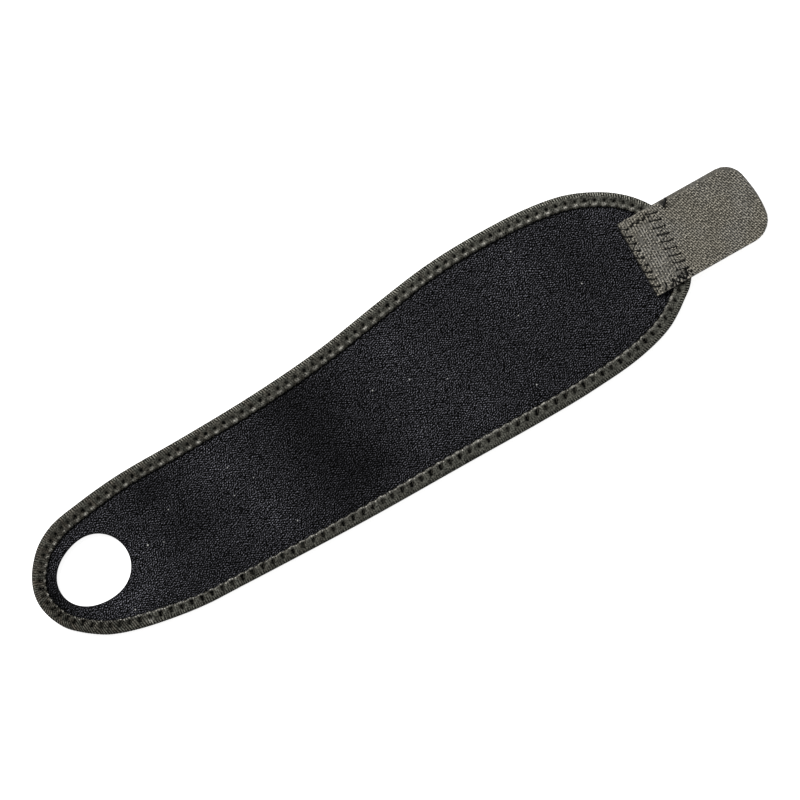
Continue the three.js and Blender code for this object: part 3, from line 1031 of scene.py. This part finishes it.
def hook_ground(dark, light, warm):
    """Woven nylon hook tape under its hooks: grey cords across it, warmer in patches, and painted black
    with shade in the needle holes where sewn, along its cut rim and as the loose thread's painted shadow.
    """
    material, tree, spot = new_material("woven nylon hook tape")
    turns, weight, press_and_shade = (
        node(tree, "ShaderNodeAttribute", out="Fac", attribute_name=name)
        for name in ("rib_turns", "rib_weight", "press_and_shade")
    )
    lit = node(tree, "ShaderNodeMapRange", {
        "Value": rib_wave(tree, turns, weight), "From Min": -1.0, "To Max": 0.95,
    })
    yarn, own = mottle(tree, spot, 0.7 * MM, 2.0, 0.3, 1.65)
    worn = mottle(tree, spot, 5 * MM, 4.0, 0.75, 1.2)[1]
    woven = node(tree, "ShaderNodeMapRange", {"Value": weight, "To Min": 0.75})
    for factor in (worn, woven):
        lit = node(tree, "ShaderNodeMath", (lit, factor), operation="MULTIPLY")
    lit = node(tree, "ShaderNodeMath", (lit, own), operation="MULTIPLY", use_clamp=True)
    warmth = mottle(tree, spot, 16 * MM, 1.0, 0.0, 1.0, wide=(0.4, 0.6))[1]
    face = node(tree, "ShaderNodeMix", {"Factor": warmth, "A": (*light, 1), "B": (*warm, 1)}, **COLOUR_MIX)
    tint = node(tree, "ShaderNodeMix", {"Factor": lit, "A": (*dark, 1), "B": face}, **COLOUR_MIX)
    # Painted shade in the needle holes, at the cut rim and as the loose thread's shadow
    tint = node(tree, "ShaderNodeMix", {"Factor": press_and_shade, "A": tint, "B": PITCH_BLACK}, **COLOUR_MIX)
    grain = node(tree, "ShaderNodeBump", {"Height": yarn, "Strength": 0.5, "Distance": 0.1 * MM})
    return surfaced(material, {
        "Base Color": tint, "Normal": grain, "Roughness": 0.6, "Specular IOR Level": 0.15,
    })


def hook_wire(tone):
    """Nylon hook wire: cut monofilament, pale and slightly glossy, some hooks paler than others."""
    material, tree, spot = new_material("nylon hook wire")
    shade = mottle(tree, spot, 1.3 * MM, 1.0, 0.3, 1.3)[1]
    tint = node(tree, "ShaderNodeVectorMath", {"Vector": tuple(tone), "Scale": shade}, operation="SCALE")
    return surfaced(material, {"Base Color": tint, "Roughness": 0.4, "Specular IOR Level": 0.3})


def studio_floor(tone, glow):
    """Opal acrylic ground, matt white and lit from below, so that it stays pale beside the brace."""
    material, tree, spot = new_material("opal acrylic ground")
    cloud = node(tree, "ShaderNodeTexNoise", {"Vector": spot, "Scale": 3.0})
    shade = node(tree, "ShaderNodeMapRange", {"Value": cloud, "To Min": 0.99, "To Max": 1.01})
    tint = node(tree, "ShaderNodeVectorMath", {"Vector": tuple(tone), "Scale": shade}, operation="SCALE")
    return surfaced(material, {
        "Base Color": tint, "Roughness": 0.95, "Specular IOR Level": 0.1,
        "Emission Color": (1, 1, 1, 1), "Emission Strength": glow,
    })


def ripples(points, reach, seed):
    """Soft waves over a plan, from about -1 to 1."""
    return np.array([noise.noise(Vector((x / reach, y / reach, seed))) for x, y in points])


def tab_heights():
    """Places along the tab, and the heights of its underside and its top there, from its solid."""
    corners = corners_of("hook_tab")
    places = np.unique(corners[:, 0].round(CORNER_DECIMALS))
    found = [corners[np.abs(corners[:, 0] - x) < SECTION_SLACK, 2] for x in places]
    return places, np.array([z.min() for z in found]), np.array([z.max() for z in found])


TAB_PLACES, TAB_LOW, TAB_HIGH = tab_heights()


def tab_underside(along):
    return np.interp(along, TAB_PLACES, TAB_LOW)


def tab_top(along):
    return np.interp(along, TAB_PLACES, TAB_HIGH)


def tab_outline(low_margin, high_margin, free_margin):
    """The tab's plan, anticlockwise, moved in by margins at its lower and upper edges and its free end."""
    points = np.unique(corners_of("hook_tab")[:, :2].round(CORNER_DECIMALS), axis=0)
    # The plan is convex, so the corners kept are those where the way round turns left
    corners = []
    for run in (points, points[::-1]):
        chain = []
        for point in run:
            while len(chain) > 1 and turn_of(chain[-1] - chain[-2], point - chain[-1]) <= 0:
                chain.pop()
            chain.append(point)
        corners += chain[:-1]
    outline = np.array(corners)
    away = outward(outline)
    share = away ** 4 / np.sum(away ** 4, axis=1, keepdims=True)
    margin = share[:, 1] * np.where(away[:, 1] < 0, low_margin, high_margin)
    margin += share[:, 0] * np.where(away[:, 0] < 0, low_margin, free_margin)
    return outline - away * margin[:, None]


def span_at(outline, along):
    """Where a convex outline starts and ends across the brace, at places along it."""
    spans = []
    for x in along:
        cuts = []
        for (ax, ay), (bx, by) in zip(outline, np.roll(outline, -1, axis=0)):
            if (ax - x) * (bx - x) <= 0 and ax != bx:
                cuts.append(ay + (by - ay) * (x - ax) / (bx - ax))
        spans.append((min(cuts), max(cuts)))
    return np.array(spans).T


def seam_paths():
    """Each seam's zigzag of needle points on the plan of the tab."""
    paths = []
    for row in SEAM_ROWS:
        start = np.array([row["x0"], row["y0"]]) * MM
        end = np.array([row["x1"], row["y1"]]) * MM
        run = np.linalg.norm(end - start)
        along = (end - start) / run
        side = np.array([-along[1], along[0]]) * row["width"] * MM / 2
        steps = np.arange(2 * round(run / (row["pitch"] * MM)) + 1)
        swing = np.where(steps % 2 == 0, -1, 1)
        travel = steps // 2 + SEAM_CROSSING * (steps % 2)
        paths.append(start + np.outer(travel * run / travel[-1], along) + np.outer(swing, side))
    return paths


def from_seams(points):
    """How far points of the plan are from the nearest stitch that lies on top of the tab."""
    gap = np.full(len(points), np.inf)
    for path in seam_paths():
        for start, end in zip(path[::2], path[1::2]):
            run = end - start
            share = np.clip((points - start) @ run / (run @ run), 0, 1)
            gap = np.minimum(gap, np.linalg.norm(points - start - share[:, None] * run, axis=1))
    return gap


def stitch_lines(name, starts, ends, up):
    """A loose edge for each stitch, which keeps the way that its arch stands."""
    mesh = bpy.data.meshes.new(name)
    points = np.stack([starts, ends], axis=1).reshape(-1, 3)
    mesh.from_pydata(points.tolist(), [(2 * i, 2 * i + 1) for i in range(len(starts))], [])
    set_attribute(mesh, "up", np.tile(up, (len(starts), 1)), "EDGE")
    return mesh


class BRACE_OT_stage(bpy.types.Operator):
    """Lay the ground, hang the lights and set up the camera above the brace"""

    bl_idname = "brace.stage"
    bl_label = "Stage"

    def execute(self, context):
        scene = context.scene
        stage = scene.brace_stage
        scene.view_settings.view_transform = "Standard"
        half = stage.floor_size / 2
        corners = [(-half, -half, 0), (half, -half, 0), (half, half, 0), (-half, half, 0)]
        mesh = bpy.data.meshes.new("ground")
        mesh.from_pydata(corners, [], [(0, 1, 2, 3)])
        mesh.materials.append(studio_floor(stage.floor, stage.floor_glow))
        in_scene("ground", mesh)

        camera = bpy.data.cameras.new("camera")
        camera.lens = stage.lens
        camera.sensor_width = 36.0
        camera.clip_end = 20.0
        viewer = in_scene("camera", camera)
        distance = stage.frame_width * camera.lens / camera.sensor_width
        viewer.location = (stage.centre_x, stage.centre_y, EDGE_MIDDLE + distance)
        viewer.rotation_euler = (0, 0, -stage.turn)
        scene.camera = viewer

        # Upper left of the picture, in the brace's own plan
        up = Vector((math.sin(stage.turn), math.cos(stage.turn), 0))
        left = Vector((-math.cos(stage.turn), math.sin(stage.turn), 0))
        spot = ((up + left).normalized() + Vector((0, 0, 1))) * stage.key_reach
        light = bpy.data.lights.new("key", "AREA")
        light.shape = "DISK"
        light.size = stage.key_size
        light.energy = stage.key
        lamp = in_scene("key", light)
        lamp.location = spot
        lamp.rotation_euler = (-spot).to_track_quat("-Z", "Y").to_euler()
        world = bpy.data.worlds.new("surround")
        world.use_nodes = True
        surround = next(n for n in world.node_tree.nodes if n.type == "BACKGROUND")
        surround.inputs["Color"].default_value = (1, 1, 1, 1)
        surround.inputs["Strength"].default_value = stage.sky
        scene.world = world
        return {"FINISHED"}


def panel_heights(panel, plan, from_lip, where):
    """The heights of the sheet's two faces: squeezed by the tape, puckered beside it, swollen and rippled."""
    swell = smooth(from_lip / panel.swell_reach)
    stitch = np.cos(2 * math.pi * stitch_turns(where))
    fades = np.exp(-np.clip(from_lip, 0, None) / PUCKER_FADE) * smooth(from_lip / MM + 0.5)
    wave = ripples(plan, panel.ripple_length, 3.0)
    wave += SMALL_WAVE_HEIGHT * ripples(plan, panel.ripple_length * SMALL_WAVE_LENGTH, 7.0)
    wave *= panel.ripple * swell * smooth((TAB_PLACES[0] - plan[:, 0]) / WAVE_FADE)
    half = (panel.sewn_thickness + (panel.thickness - panel.sewn_thickness) * swell) / 2
    middle = EDGE_MIDDLE + swell * (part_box("panel")[0].z + panel.thickness / 2 - EDGE_MIDDLE)
    top = middle + half + wave + panel.pucker * stitch * fades
    return top, np.maximum(middle - half + UNDER_WAVE * wave, GROUND_GAP)


def knit_nap_and_painted_shade(plan, from_lip, where):
    """How light the knit is painted: more or less so in soft patches of painted sheen and shade, and black
    beside the tape with the painted shadow of its lip, where that lip faces away from the light.
    """
    nap = np.ones(len(plan))
    # Soft patches of painted sheen and shade, where the nap lies with the light or against it
    for row in NAP_SHEEN_AND_SHADE_ROWS:
        along = (plan[:, 0] / MM - row["x"]) / row["along"]
        across = (plan[:, 1] / MM - row["y"]) / row["across"]
        nap += row["tone"] * np.exp(-along ** 2 - across ** 2)
    # The lip's painted shadow: black beside the lip where it faces away from the light
    return nap * (1 - (1 - along_edge("pale_lip", where)) * smooth(1 - from_lip / LIP_SHADE))


class BRACE_OT_panel(bpy.types.Operator):
    """Build the knit-faced foam panel with its thumb hole"""

    bl_idname = "brace.panel"
    bl_label = "Panel"

    def execute(self, context):
        panel = context.scene.brace_panel
        outline = EDGE.inset(EDGE.even(OUTLINE_SPACING * panel.spacing), FOLD_RADIUS - TUCK)
        hole_spots = HOLE.even(HOLE_SPACING * panel.spacing)
        hole = HOLE.at(hole_spots)
        away = -HOLE.inward(hole_spots)
        specks = np.array([(row["x"], row["y"]) for row in LINT_ROWS]) * MM
        sizes = np.array([row["size"] for row in LINT_ROWS]) * MM
        lip_spots = EDGE.even(panel.spacing)
        lip_lines = [EDGE.inset(lip_spots, lip_inset(lip_spots) + step * LIP_SHADE) for step in LIP_LINES]
        marks = np.concatenate([ringed(specks, sizes), *lip_lines])
        plan, triangles = fill_plan(outline, [hole + away * panel.rim], panel.spacing, marks)
        gap, where = EDGE.nearest(plan)
        from_lip = gap - lip_inset(where)
        top, bottom = panel_heights(panel, plan, from_lip, where)

        skin = Skin()
        upper = skin.add(plan, top)
        lower = skin.add(plan, bottom)
        skin.fill(upper, triangles, True)
        top_faces = len(skin.faces)
        skin.fill(lower, triangles, False)
        both_faces = len(skin.faces)
        edge_of = slice(0, len(outline))
        rim_of = slice(len(outline), len(outline) + len(hole))
        skin.band(upper[edge_of], lower[edge_of])
        wall = [upper[rim_of]]
        for level, inwards, shares in ((top, -1, RIM_SHARES), (bottom, 1, RIM_SHARES[::-1])):
            for share in shares:
                turn = share * math.pi / 2
                ring = hole + away * panel.rim * (1 - math.sin(turn))
                wall.append(skin.add(ring, level[rim_of] + inwards * panel.rim * (1 - math.cos(turn))))
        wall.append(lower[rim_of])
        for above, below in zip(wall, wall[1:]):
            skin.band(below, above)

        mesh = skin.mesh("panel_knit")
        lint = np.zeros(len(mesh.vertices))
        for speck in specks:
            lint[np.linalg.norm(plan - speck, axis=1).argmin()] = 1.0
        # The nap attribute holds painted sheen and shade, and the painted shadow beside the tape's lip
        nap = np.ones(len(mesh.vertices))
        nap[:len(plan)] = knit_nap_and_painted_shade(plan, from_lip, where)
        set_attribute(mesh, "lint", lint)
        set_attribute(mesh, "nap", nap)
        mesh.materials.append(knit_face(panel.knit_dark, panel.knit_light, panel.lint))
        mesh.materials.append(loop_face(panel.knit_dark, panel.knit_light))
        mesh.materials.append(cut_foam(panel.foam))
        kinds = np.full(len(mesh.polygons), 2, np.int32)
        kinds[:top_faces] = 0
        kinds[top_faces:both_faces] = 1
        mesh.polygons.foreach_set("material_index", kinds)
        piece = place("panel_knit", mesh, "panel_foam", "panel")
        return {"FINISHED"}


def tape_top(binding, spots, lip, look):
    """The tape's upper face in rows from its lip to the fold, with needle pockets, puffs and worn places.

    look gives each column of the tape's look at the spots along the edge.
    """
    turns = stitch_turns(spots)
    pitch = along_edge("pitch", spots) * MM
    past_hole = (turns - np.round(turns)) * pitch
    from_bite = np.abs(turns - 0.5 - np.round(turns - 0.5)) * pitch
    whims = stitch_whims(turns)
    pocket = along_edge("pocket", spots) * MM * whims["pocket length"]
    slant = POCKET_LEAN * whims["pocket lean"]
    radius = binding.needle_radius * whims["hole radius"]
    # The strength of each hole's painted shade, in the hole and its pocket
    hole_shade = np.clip(whims["hole darkness"], 0, 1)
    # How bright each hole's painted highlights are, on its puff and over the lip
    hole_highlight = whims["puff paleness"]
    # The lip's painted highlight is brighter where the thread crosses it
    thread = THREAD_HIGHLIGHT * hole_highlight * np.exp(-(from_bite / THREAD_HIGHLIGHT_WIDTH) ** 2)
    reaches, rises = zip(*[(row["reach"], row["rise"]) for row in TAPE_ROWS])
    rows = []
    for reach in np.linspace(1, 0, TAPE_STEPS):
        inset = FOLD_RADIUS + (lip - FOLD_RADIUS) * reach
        across = inset - needle_inset(spots)
        within = np.clip(across, 0, pocket)
        from_hole = np.abs(past_hole - slant * within)
        off = np.hypot(np.clip(from_hole - POCKET_FLARE * within, 0, None), across - within)
        dimple = np.exp(-(off / binding.dimple_width) ** 2)
        bite = np.exp(-(from_bite / BITE_WIDTH) ** 2) * smooth((reach - BITE_START) / (1 - BITE_START))
        past_pocket = across - pocket - PUFF_PLACE
        puff = np.exp(-(from_hole / PUFF_ALONG) ** 2 - (past_pocket / PUFF_ACROSS) ** 2)
        sunk = binding.dimple_depth * dimple + binding.bite * bite - binding.puff * puff
        # A painted highlight along the lip where it faces the light
        lip_line = look["pale_lip"] * np.exp(-((reach - LIP_HIGHLIGHT_REACH) / LIP_HIGHLIGHT_WIDTH) ** 2)
        to_fleck = EDGE.inset(spots, inset) / MM - (FLECK["x"], FLECK["y"])
        fleck = FLECK["pale"] * np.exp(-(np.linalg.norm(to_fleck, axis=1) / FLECK["size"]) ** 2)
        # Painted shade along the needle row, where the lip faces away from the light
        row_shade = ROW_SHADE * (1 - look["pale_lip"]) * np.exp(-(across / ROW_SHADE_WIDTH) ** 2)
        rows.append({
            "inset": inset,
            "height": EDGE_MIDDLE + np.interp(reach, reaches, rises) * MM - sunk,
            # Painted shade in the needle hole and its pocket
            "press_and_shade": hole_shade * smooth((radius - off) / binding.needle_blur + 0.5),
            # Painted highlights on the puff and the lip, and the pale fleck
            "highlight_and_fleck": hole_highlight * puff + (1 + thread) * lip_line + fleck,
            # tone holds the needle row's painted shade
            "tone": look["tone"] * (1 - row_shade),
            "rib_weight": look["rib"] * look["flat"],
        })
    return rows


def tape_fold(look):
    """The round fold of the tape, in rows from above to below, with its ribs at their strongest and
    painted shade at its very edge.
    """
    flat = np.zeros(len(look["tone"]))
    rows = []
    for turn in np.linspace(0, math.pi, FOLD_STEPS + 1)[1:-1]:
        inset = FOLD_RADIUS * (1 - math.sin(turn))
        strong = smooth((RIB_FADE[1] - inset) / (RIB_FADE[1] - RIB_FADE[0]))
        rows.append({
            "inset": flat + inset,
            "height": flat + EDGE_MIDDLE + FOLD_RADIUS * math.cos(turn),
            # Painted shade at the very edge of the fold
            "tone": look["tone"] * (1 - FOLD_SHADE * smooth(1 - inset / FOLD_SHADE_WIDTH)),
            "rib_weight": look["rib"] * (look["flat"] + (EDGE_RIB - look["flat"]) * strong),
        })
    return rows


def tape_below(lip, look):
    """The tape's lower face in rows from the fold to its lip, and then the channel that holds the sheet."""
    flat = np.zeros(len(lip))
    rows = []
    for row in UNDERSIDE_ROWS:
        inset = FOLD_RADIUS + (lip - FOLD_RADIUS) * row["reach"]
        rows.append({"inset": inset, "height": flat + row["rise"] * MM, "tone": look["tone"]})
    behind_lip = lip - LIP_THICKNESS
    channel = [(behind_lip, -CHANNEL), (flat + FOLD_RADIUS, -CHANNEL), (flat + CHANNEL, 0),
               (flat + FOLD_RADIUS, CHANNEL), (behind_lip, CHANNEL)]
    return rows + [{"inset": inset, "height": flat + EDGE_MIDDLE + rise} for inset, rise in channel]


class BRACE_OT_binding(bpy.types.Operator):
    """Fold the ribbed tape round the edge of the panel"""

    bl_idname = "brace.binding"
    bl_label = "Edge binding"

    def execute(self, context):
        binding = context.scene.brace_binding
        spots = EDGE.even(EDGE.length / (RIB_STATIONS * round(EDGE.length / binding.rib_pitch)))
        look = {
            column: along_edge(column, spots)
            for column in ("pale_lip", "tone", "brown", "rib", "flat", "lean", "stretch")
        }
        lip = lip_inset(spots) + binding.scallop * np.cos(2 * math.pi * stitch_turns(spots))
        rows = tape_top(binding, spots, lip, look) + tape_fold(look) + tape_below(lip, look)
        skin = Skin()
        rings = [skin.add(EDGE.inset(spots, row["inset"]), row["height"]) for row in rows]
        for first, second in zip(rings, rings[1:] + rings[:1]):
            skin.band(first, second)
        mesh = skin.mesh("binding_tape")
        stray = RIB_STRAY * ripples(EDGE.at(spots), RIB_STRAY_LENGTH, 5.0)
        rate = 1 / (binding.rib_pitch * look["stretch"])
        turned = np.cumsum(rate) * EDGE.length / len(spots)
        turned *= round(turned[-1]) / turned[-1]
        for row in rows:
            row["rib_turns"] = turned + rate * (stray + look["lean"] * row["inset"])
            row["brown"] = look["brown"]
        bare = np.zeros(len(spots))
        for name in ("rib_turns", "rib_weight", "press_and_shade", "highlight_and_fleck", "tone", "brown"):
            set_attribute(mesh, name, np.concatenate([row.get(name, bare) for row in rows]))
        tape = ribbed_tape(binding.tape_dark, binding.tape_light, binding.tape_brown, binding.tape_highlight_and_fleck)
        made = grown("binding_tape", mesh, ribbed_tape_tree(), {
            "Rib Height": binding.rib_height, "Material": tape,
        })
        piece = place("binding_tape", made, "binding_tape", "edge_binding")
        return {"FINISHED"}


class BRACE_OT_binding_stitches(bpy.types.Operator):
    """Sew the binding down with a zigzag on both faces"""

    bl_idname = "brace.binding_stitches"
    bl_label = "Binding stitches"

    def execute(self, context):
        binding = context.scene.brace_binding
        steps = np.arange(2 * round(TURNS[-1]))
        spots = np.interp(steps / 2, TURNS, TURN_SPOTS)
        on_tape = steps % 2 == 0
        plan = EDGE.inset(spots, np.where(on_tape, needle_inset(spots), lip_inset(spots) + PAST_LIP))
        thread = spun_thread("olive polyester thread", binding.thread)
        for row in STITCH_ROWS:
            height = np.where(on_tape, row["on_tape"] * MM, row["past_lip"] * MM)
            points = np.column_stack([plan, height])
            seam = stitch_lines(row["face"], points, np.roll(points, -1, axis=0), (0, 0, row["up"]))
            mesh = grown(row["face"], seam, stitch_tree(), {
                "Thread Thickness": binding.thread_thickness, "Arch": row["arch"] * MM, "Seed": 3,
                "Material": thread,
            })
            place(row["face"], mesh, "binding_tape")
        return {"FINISHED"}


def tab_press(tab, plan):
    """How far the needles of the seams sink points of the tab in, from 0 to 1, and so how strong the
    painted shade of their holes is.
    """
    needles = np.concatenate(seam_paths())
    apart = np.min([np.linalg.norm(plan - needle, axis=1) for needle in needles], axis=0)
    return smooth((tab.needle_radius - apart) / tab.needle_blur + 0.5)


def tab_cords(tab, plan, from_top, from_tip):
    """How strong the tab's cords are at points this far from its upper edge and its free end."""
    selvage = np.where(plan[:, 0] > SELVAGE_START, tab.selvage, tab.side_margin)
    worn = ROOT_CORDS["middle"] + ROOT_CORDS["spread"] * ripples(plan, ROOT_CORDS["length"], 9.0)
    weight = np.where(plan[:, 0] > ROOT_END, 1, np.clip(worn, ROOT_CORDS["least"], 1))
    for strips in (from_top / selvage, from_tip / tab.free_margin):
        weight = weight * smooth(STRIP_SHARPNESS * (strips - 1) + 0.5)
    return weight


class BRACE_OT_hook_tab(bpy.types.Operator):
    """Lay the strip of hook tape over the nose of the brace"""

    bl_idname = "brace.hook_tab"
    bl_label = "Hook tab"

    def execute(self, context):
        tab = context.scene.brace_tab
        outline = tab_outline(TAB_RIM, TAB_RIM, TAB_RIM)
        first, last = outline[:, 0].min(), outline[:, 0].max()
        columns = np.linspace(first, last, round(CORD_STATIONS * (last - first) / tab.cord_pitch) + 1)
        # The end columns stay a little inside the outline, so that it has a width there
        columns[[0, -1]] += (TAB_RIM / 4, -TAB_RIM / 4)
        low, high = span_at(outline, columns)
        shares = np.linspace(0, 1, round((high - low).max() / tab.spacing) + 1)
        across = low[:, None] + (high - low)[:, None] * shares
        plan = np.stack([np.broadcast_to(columns[:, None], across.shape), across], axis=2).reshape(-1, 2)
        # The needles sink the tape and give their holes' painted shade
        press_and_shade = tab_press(tab, plan)
        # The painted shadow of the loose thread on the tab beside it
        from_tail_shadow = np.linalg.norm(plan / MM - (TAIL_SHADOW["x"], TAIL_SHADOW["y"]), axis=1)
        dark = np.maximum(press_and_shade, TAIL_SHADOW["shade"] * np.exp(-(from_tail_shadow / TAIL_SHADOW["radius"]) ** 4))
        # Painted shade at the sewn end of the tab
        dark = np.maximum(dark, RIM_SHADE * (1 - smooth((plan[:, 0] - first) / RIM_WIDTH)))
        from_top = np.repeat(high, len(shares)) - plan[:, 1]
        weight = tab_cords(tab, plan, from_top, last - plan[:, 0]) * (1 - press_and_shade)

        skin = Skin()
        upper = skin.add(plan, tab_top(plan[:, 0]) - NEEDLE_SINK * press_and_shade).reshape(across.shape)
        for left, right in zip(upper, upper[1:]):
            quads = np.stack([left[:-1], right[:-1], right[1:], left[1:]], axis=1)
            skin.faces.extend(quads.tolist())
        ring = np.concatenate([upper[:-1, 0], upper[-1, :-1], upper[:0:-1, -1], upper[0, :0:-1]])
        edge = plan[ring]
        outer = edge + TAB_RIM * outward(edge)
        shoulder = skin.add(outer, tab_top(outer[:, 0]) - TAB_RIM)
        foot = skin.add(outer, tab_underside(outer[:, 0]) + TAB_RIM)
        under, triangles = fill_plan(edge, [], UNDERSIDE_SPACING * tab.spacing)
        lower = skin.add(under, tab_underside(under[:, 0]))
        skin.fill(lower, triangles, False)
        for above, below in ((ring, shoulder), (shoulder, foot), (foot, lower[:len(ring)])):
            skin.band(above, below)
        mesh = skin.mesh("hook_tape")
        everywhere = np.concatenate(skin.points)
        spare = np.zeros(len(everywhere) - len(plan))
        # Painted shade on the shoulder and foot of the tab's cut rim
        rim_dark = np.where(np.arange(len(spare)) < 2 * len(ring), RIM_SHADE, 0)
        slanted = everywhere[:, :2] @ (math.cos(CORD_SLANT), math.sin(CORD_SLANT)) / tab.cord_pitch
        straight = (everywhere[:, 0] - first) / tab.root_cord_pitch + 0.5
        set_attribute(mesh, "rib_turns", np.where(everywhere[:, 0] > ROOT_END, slanted, straight))
        set_attribute(mesh, "rib_weight", np.concatenate([weight, spare]))
        set_attribute(mesh, "press_and_shade", np.concatenate([dark, rim_dark]))
        made = grown("hook_tape", mesh, ribbed_tape_tree(), {
            "Rib Height": tab.cord_height,
            "Material": hook_ground(tab.tape_dark, tab.tape_light, tab.tape_warm),
        })
        piece = place("hook_tape", made, "hook_tape", "hook_tab")
        low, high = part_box("hook_tab")
        return {"FINISHED"}


class BRACE_OT_hooks(bpy.types.Operator):
    """Stand the hooks on the tab"""

    bl_idname = "brace.hooks"
    bl_label = "Hooks"

    def execute(self, context):
        tab = context.scene.brace_tab
        sewn = tab_outline(tab.side_margin, tab.side_margin, tab.free_margin)
        free = tab_outline(tab.side_margin, tab.selvage, tab.free_margin)
        starts, ends = sewn.min(axis=0), sewn.max(axis=0)
        lines = [np.arange(start, end, HOOK_CELL) + HOOK_CELL / 2 for start, end in zip(starts, ends)]
        cells = np.stack(np.meshgrid(*lines), axis=2).reshape(-1, 2)
        kept = np.where(cells[:, 0] > SELVAGE_START, inside(free, cells), inside(sewn, cells))
        kept &= from_seams(cells) > tab.seam_margin
        for needle in np.concatenate(seam_paths()):
            kept &= np.linalg.norm(cells - needle, axis=1) > tab.needle_radius + tab.needle_blur / 2
        # No hooks stand in the loose thread's painted shadow
        kept &= np.linalg.norm(cells / MM - (TAIL_SHADOW["x"], TAIL_SHADOW["y"]), axis=1) > TAIL_SHADOW["radius"]
        left_standing = np.random.default_rng(6).uniform(size=len(cells)) < ROOT_HOOKS
        kept &= (cells[:, 0] > ROOT_END) | left_standing
        square = HOOK_CELL / 2 * np.array([(-1, -1), (1, -1), (1, 1), (-1, 1)])
        corners = (cells[kept][:, None] + square).reshape(-1, 2)
        skin = Skin()
        indices = skin.add(corners, tab_top(corners[:, 0]))
        skin.faces.extend(indices.reshape(-1, 4).tolist())
        low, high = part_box("hook_tab")
        mesh = grown("hooks", skin.mesh("hooks"), hook_tree(), {
            "Columns": math.ceil((high.x - low.x) / tab.pitch_along),
            "Rows": math.ceil((high.y - low.y) / tab.pitch_across) + 2,
            "Middle": ((low.x + high.x) / 2, (low.y + high.y) / 2, high.z + RAY_START),
            "Pitch Along": tab.pitch_along, "Pitch Across": tab.pitch_across, "Stagger": tab.stagger,
            "Hook Height": tab.hook_height, "Hook Wire": tab.hook_wire, "Seed": 11,
            "Material": hook_wire(tab.hook_colour),
        })
        place("hooks", mesh, "hook_tape")
        return {"FINISHED"}


class BRACE_OT_tab_seam(bpy.types.Operator):
    """Sew the tab on with its box of zigzag seams, and leave a loose end of thread"""

    bl_idname = "brace.tab_seam"
    bl_label = "Tab seams"

    def execute(self, context):
        tab = context.scene.brace_tab
        starts, ends = [], []
        for path in seam_paths():
            for i, (start, end) in enumerate(zip(path, path[1:])):
                sunk = RETURN_SINK if i % 2 else 0.0
                starts.append((*start, tab_top(start[0]) - sunk))
                ends.append((*end, tab_top(end[0]) - sunk))
        thread = spun_thread("dark polyester thread", tab.thread)
        seam = stitch_lines("tab_seam", np.array(starts), np.array(ends), (0, 0, 1))
        mesh = grown("tab_seam", seam, stitch_tree(), {
            "Thread Thickness": tab.thread_thickness, "Arch": SEAM_ARCH, "Seed": 8, "Material": thread,
        })
        place("tab_seam", mesh, "hook_tape")

        curve = bpy.data.curves.new("thread_end", "CURVE")
        curve.dimensions = "3D"
        curve.bevel_depth = TAIL_RADIUS
        curve.bevel_resolution = 1
        curve.use_fill_caps = True
        line = curve.splines.new("NURBS")
        line.points.add(len(TAIL_ROWS) - 1)
        line.use_endpoint_u = True
        line.order_u = 3
        for point, row in zip(line.points, TAIL_ROWS):
            x, y = row["x"] * MM, row["y"] * MM
            point.co = (x, y, tab_top(x) + row["lift"] * MM, 1)
        holder = in_scene("thread_end", curve)
        tail = plain_mesh(holder)
        bpy.data.objects.remove(holder)
        tail.materials.clear()
        tail.materials.append(thread)
        tail.shade_smooth()
        place("thread_end", tail, "hook_tape")
        return {"FINISHED"}


PIECES = (
    BRACE_OT_stage, BRACE_OT_panel, BRACE_OT_binding, BRACE_OT_binding_stitches, BRACE_OT_hook_tab,
    BRACE_OT_hooks, BRACE_OT_tab_seam,
)


class BRACE_PT_pieces(bpy.types.Panel):
    """Lists the pieces of the brace"""

    bl_label = "Wrist Thumb Brace"
    bl_idname = "BRACE_PT_pieces"
    bl_space_type = "VIEW_3D"
    bl_region_type = "UI"
    bl_category = "Brace"

    def draw(self, context):
        for piece in PIECES:
            self.layout.operator(piece.bl_idname)


SETTINGS = {
    "brace_panel": PanelSettings,
    "brace_binding": BindingSettings,
    "brace_tab": TabSettings,
    "brace_stage": StageSettings,
}


def register():
    for name, group in SETTINGS.items():
        bpy.utils.register_class(group)
        setattr(bpy.types.Scene, name, bpy.props.PointerProperty(type=group))
    for made in (*PIECES, BRACE_PT_pieces):
        bpy.utils.register_class(made)


def unregister():
    for made in reversed((*PIECES, BRACE_PT_pieces)):
        bpy.utils.unregister_class(made)
    for name, group in SETTINGS.items():
        delattr(bpy.types.Scene, name)
        bpy.utils.unregister_class(group)


def main():
    register()
    for piece in PIECES:
        family, name = piece.bl_idname.split(".")
        getattr(getattr(bpy.ops, family), name)()


if __name__ == "__main__":
    main()
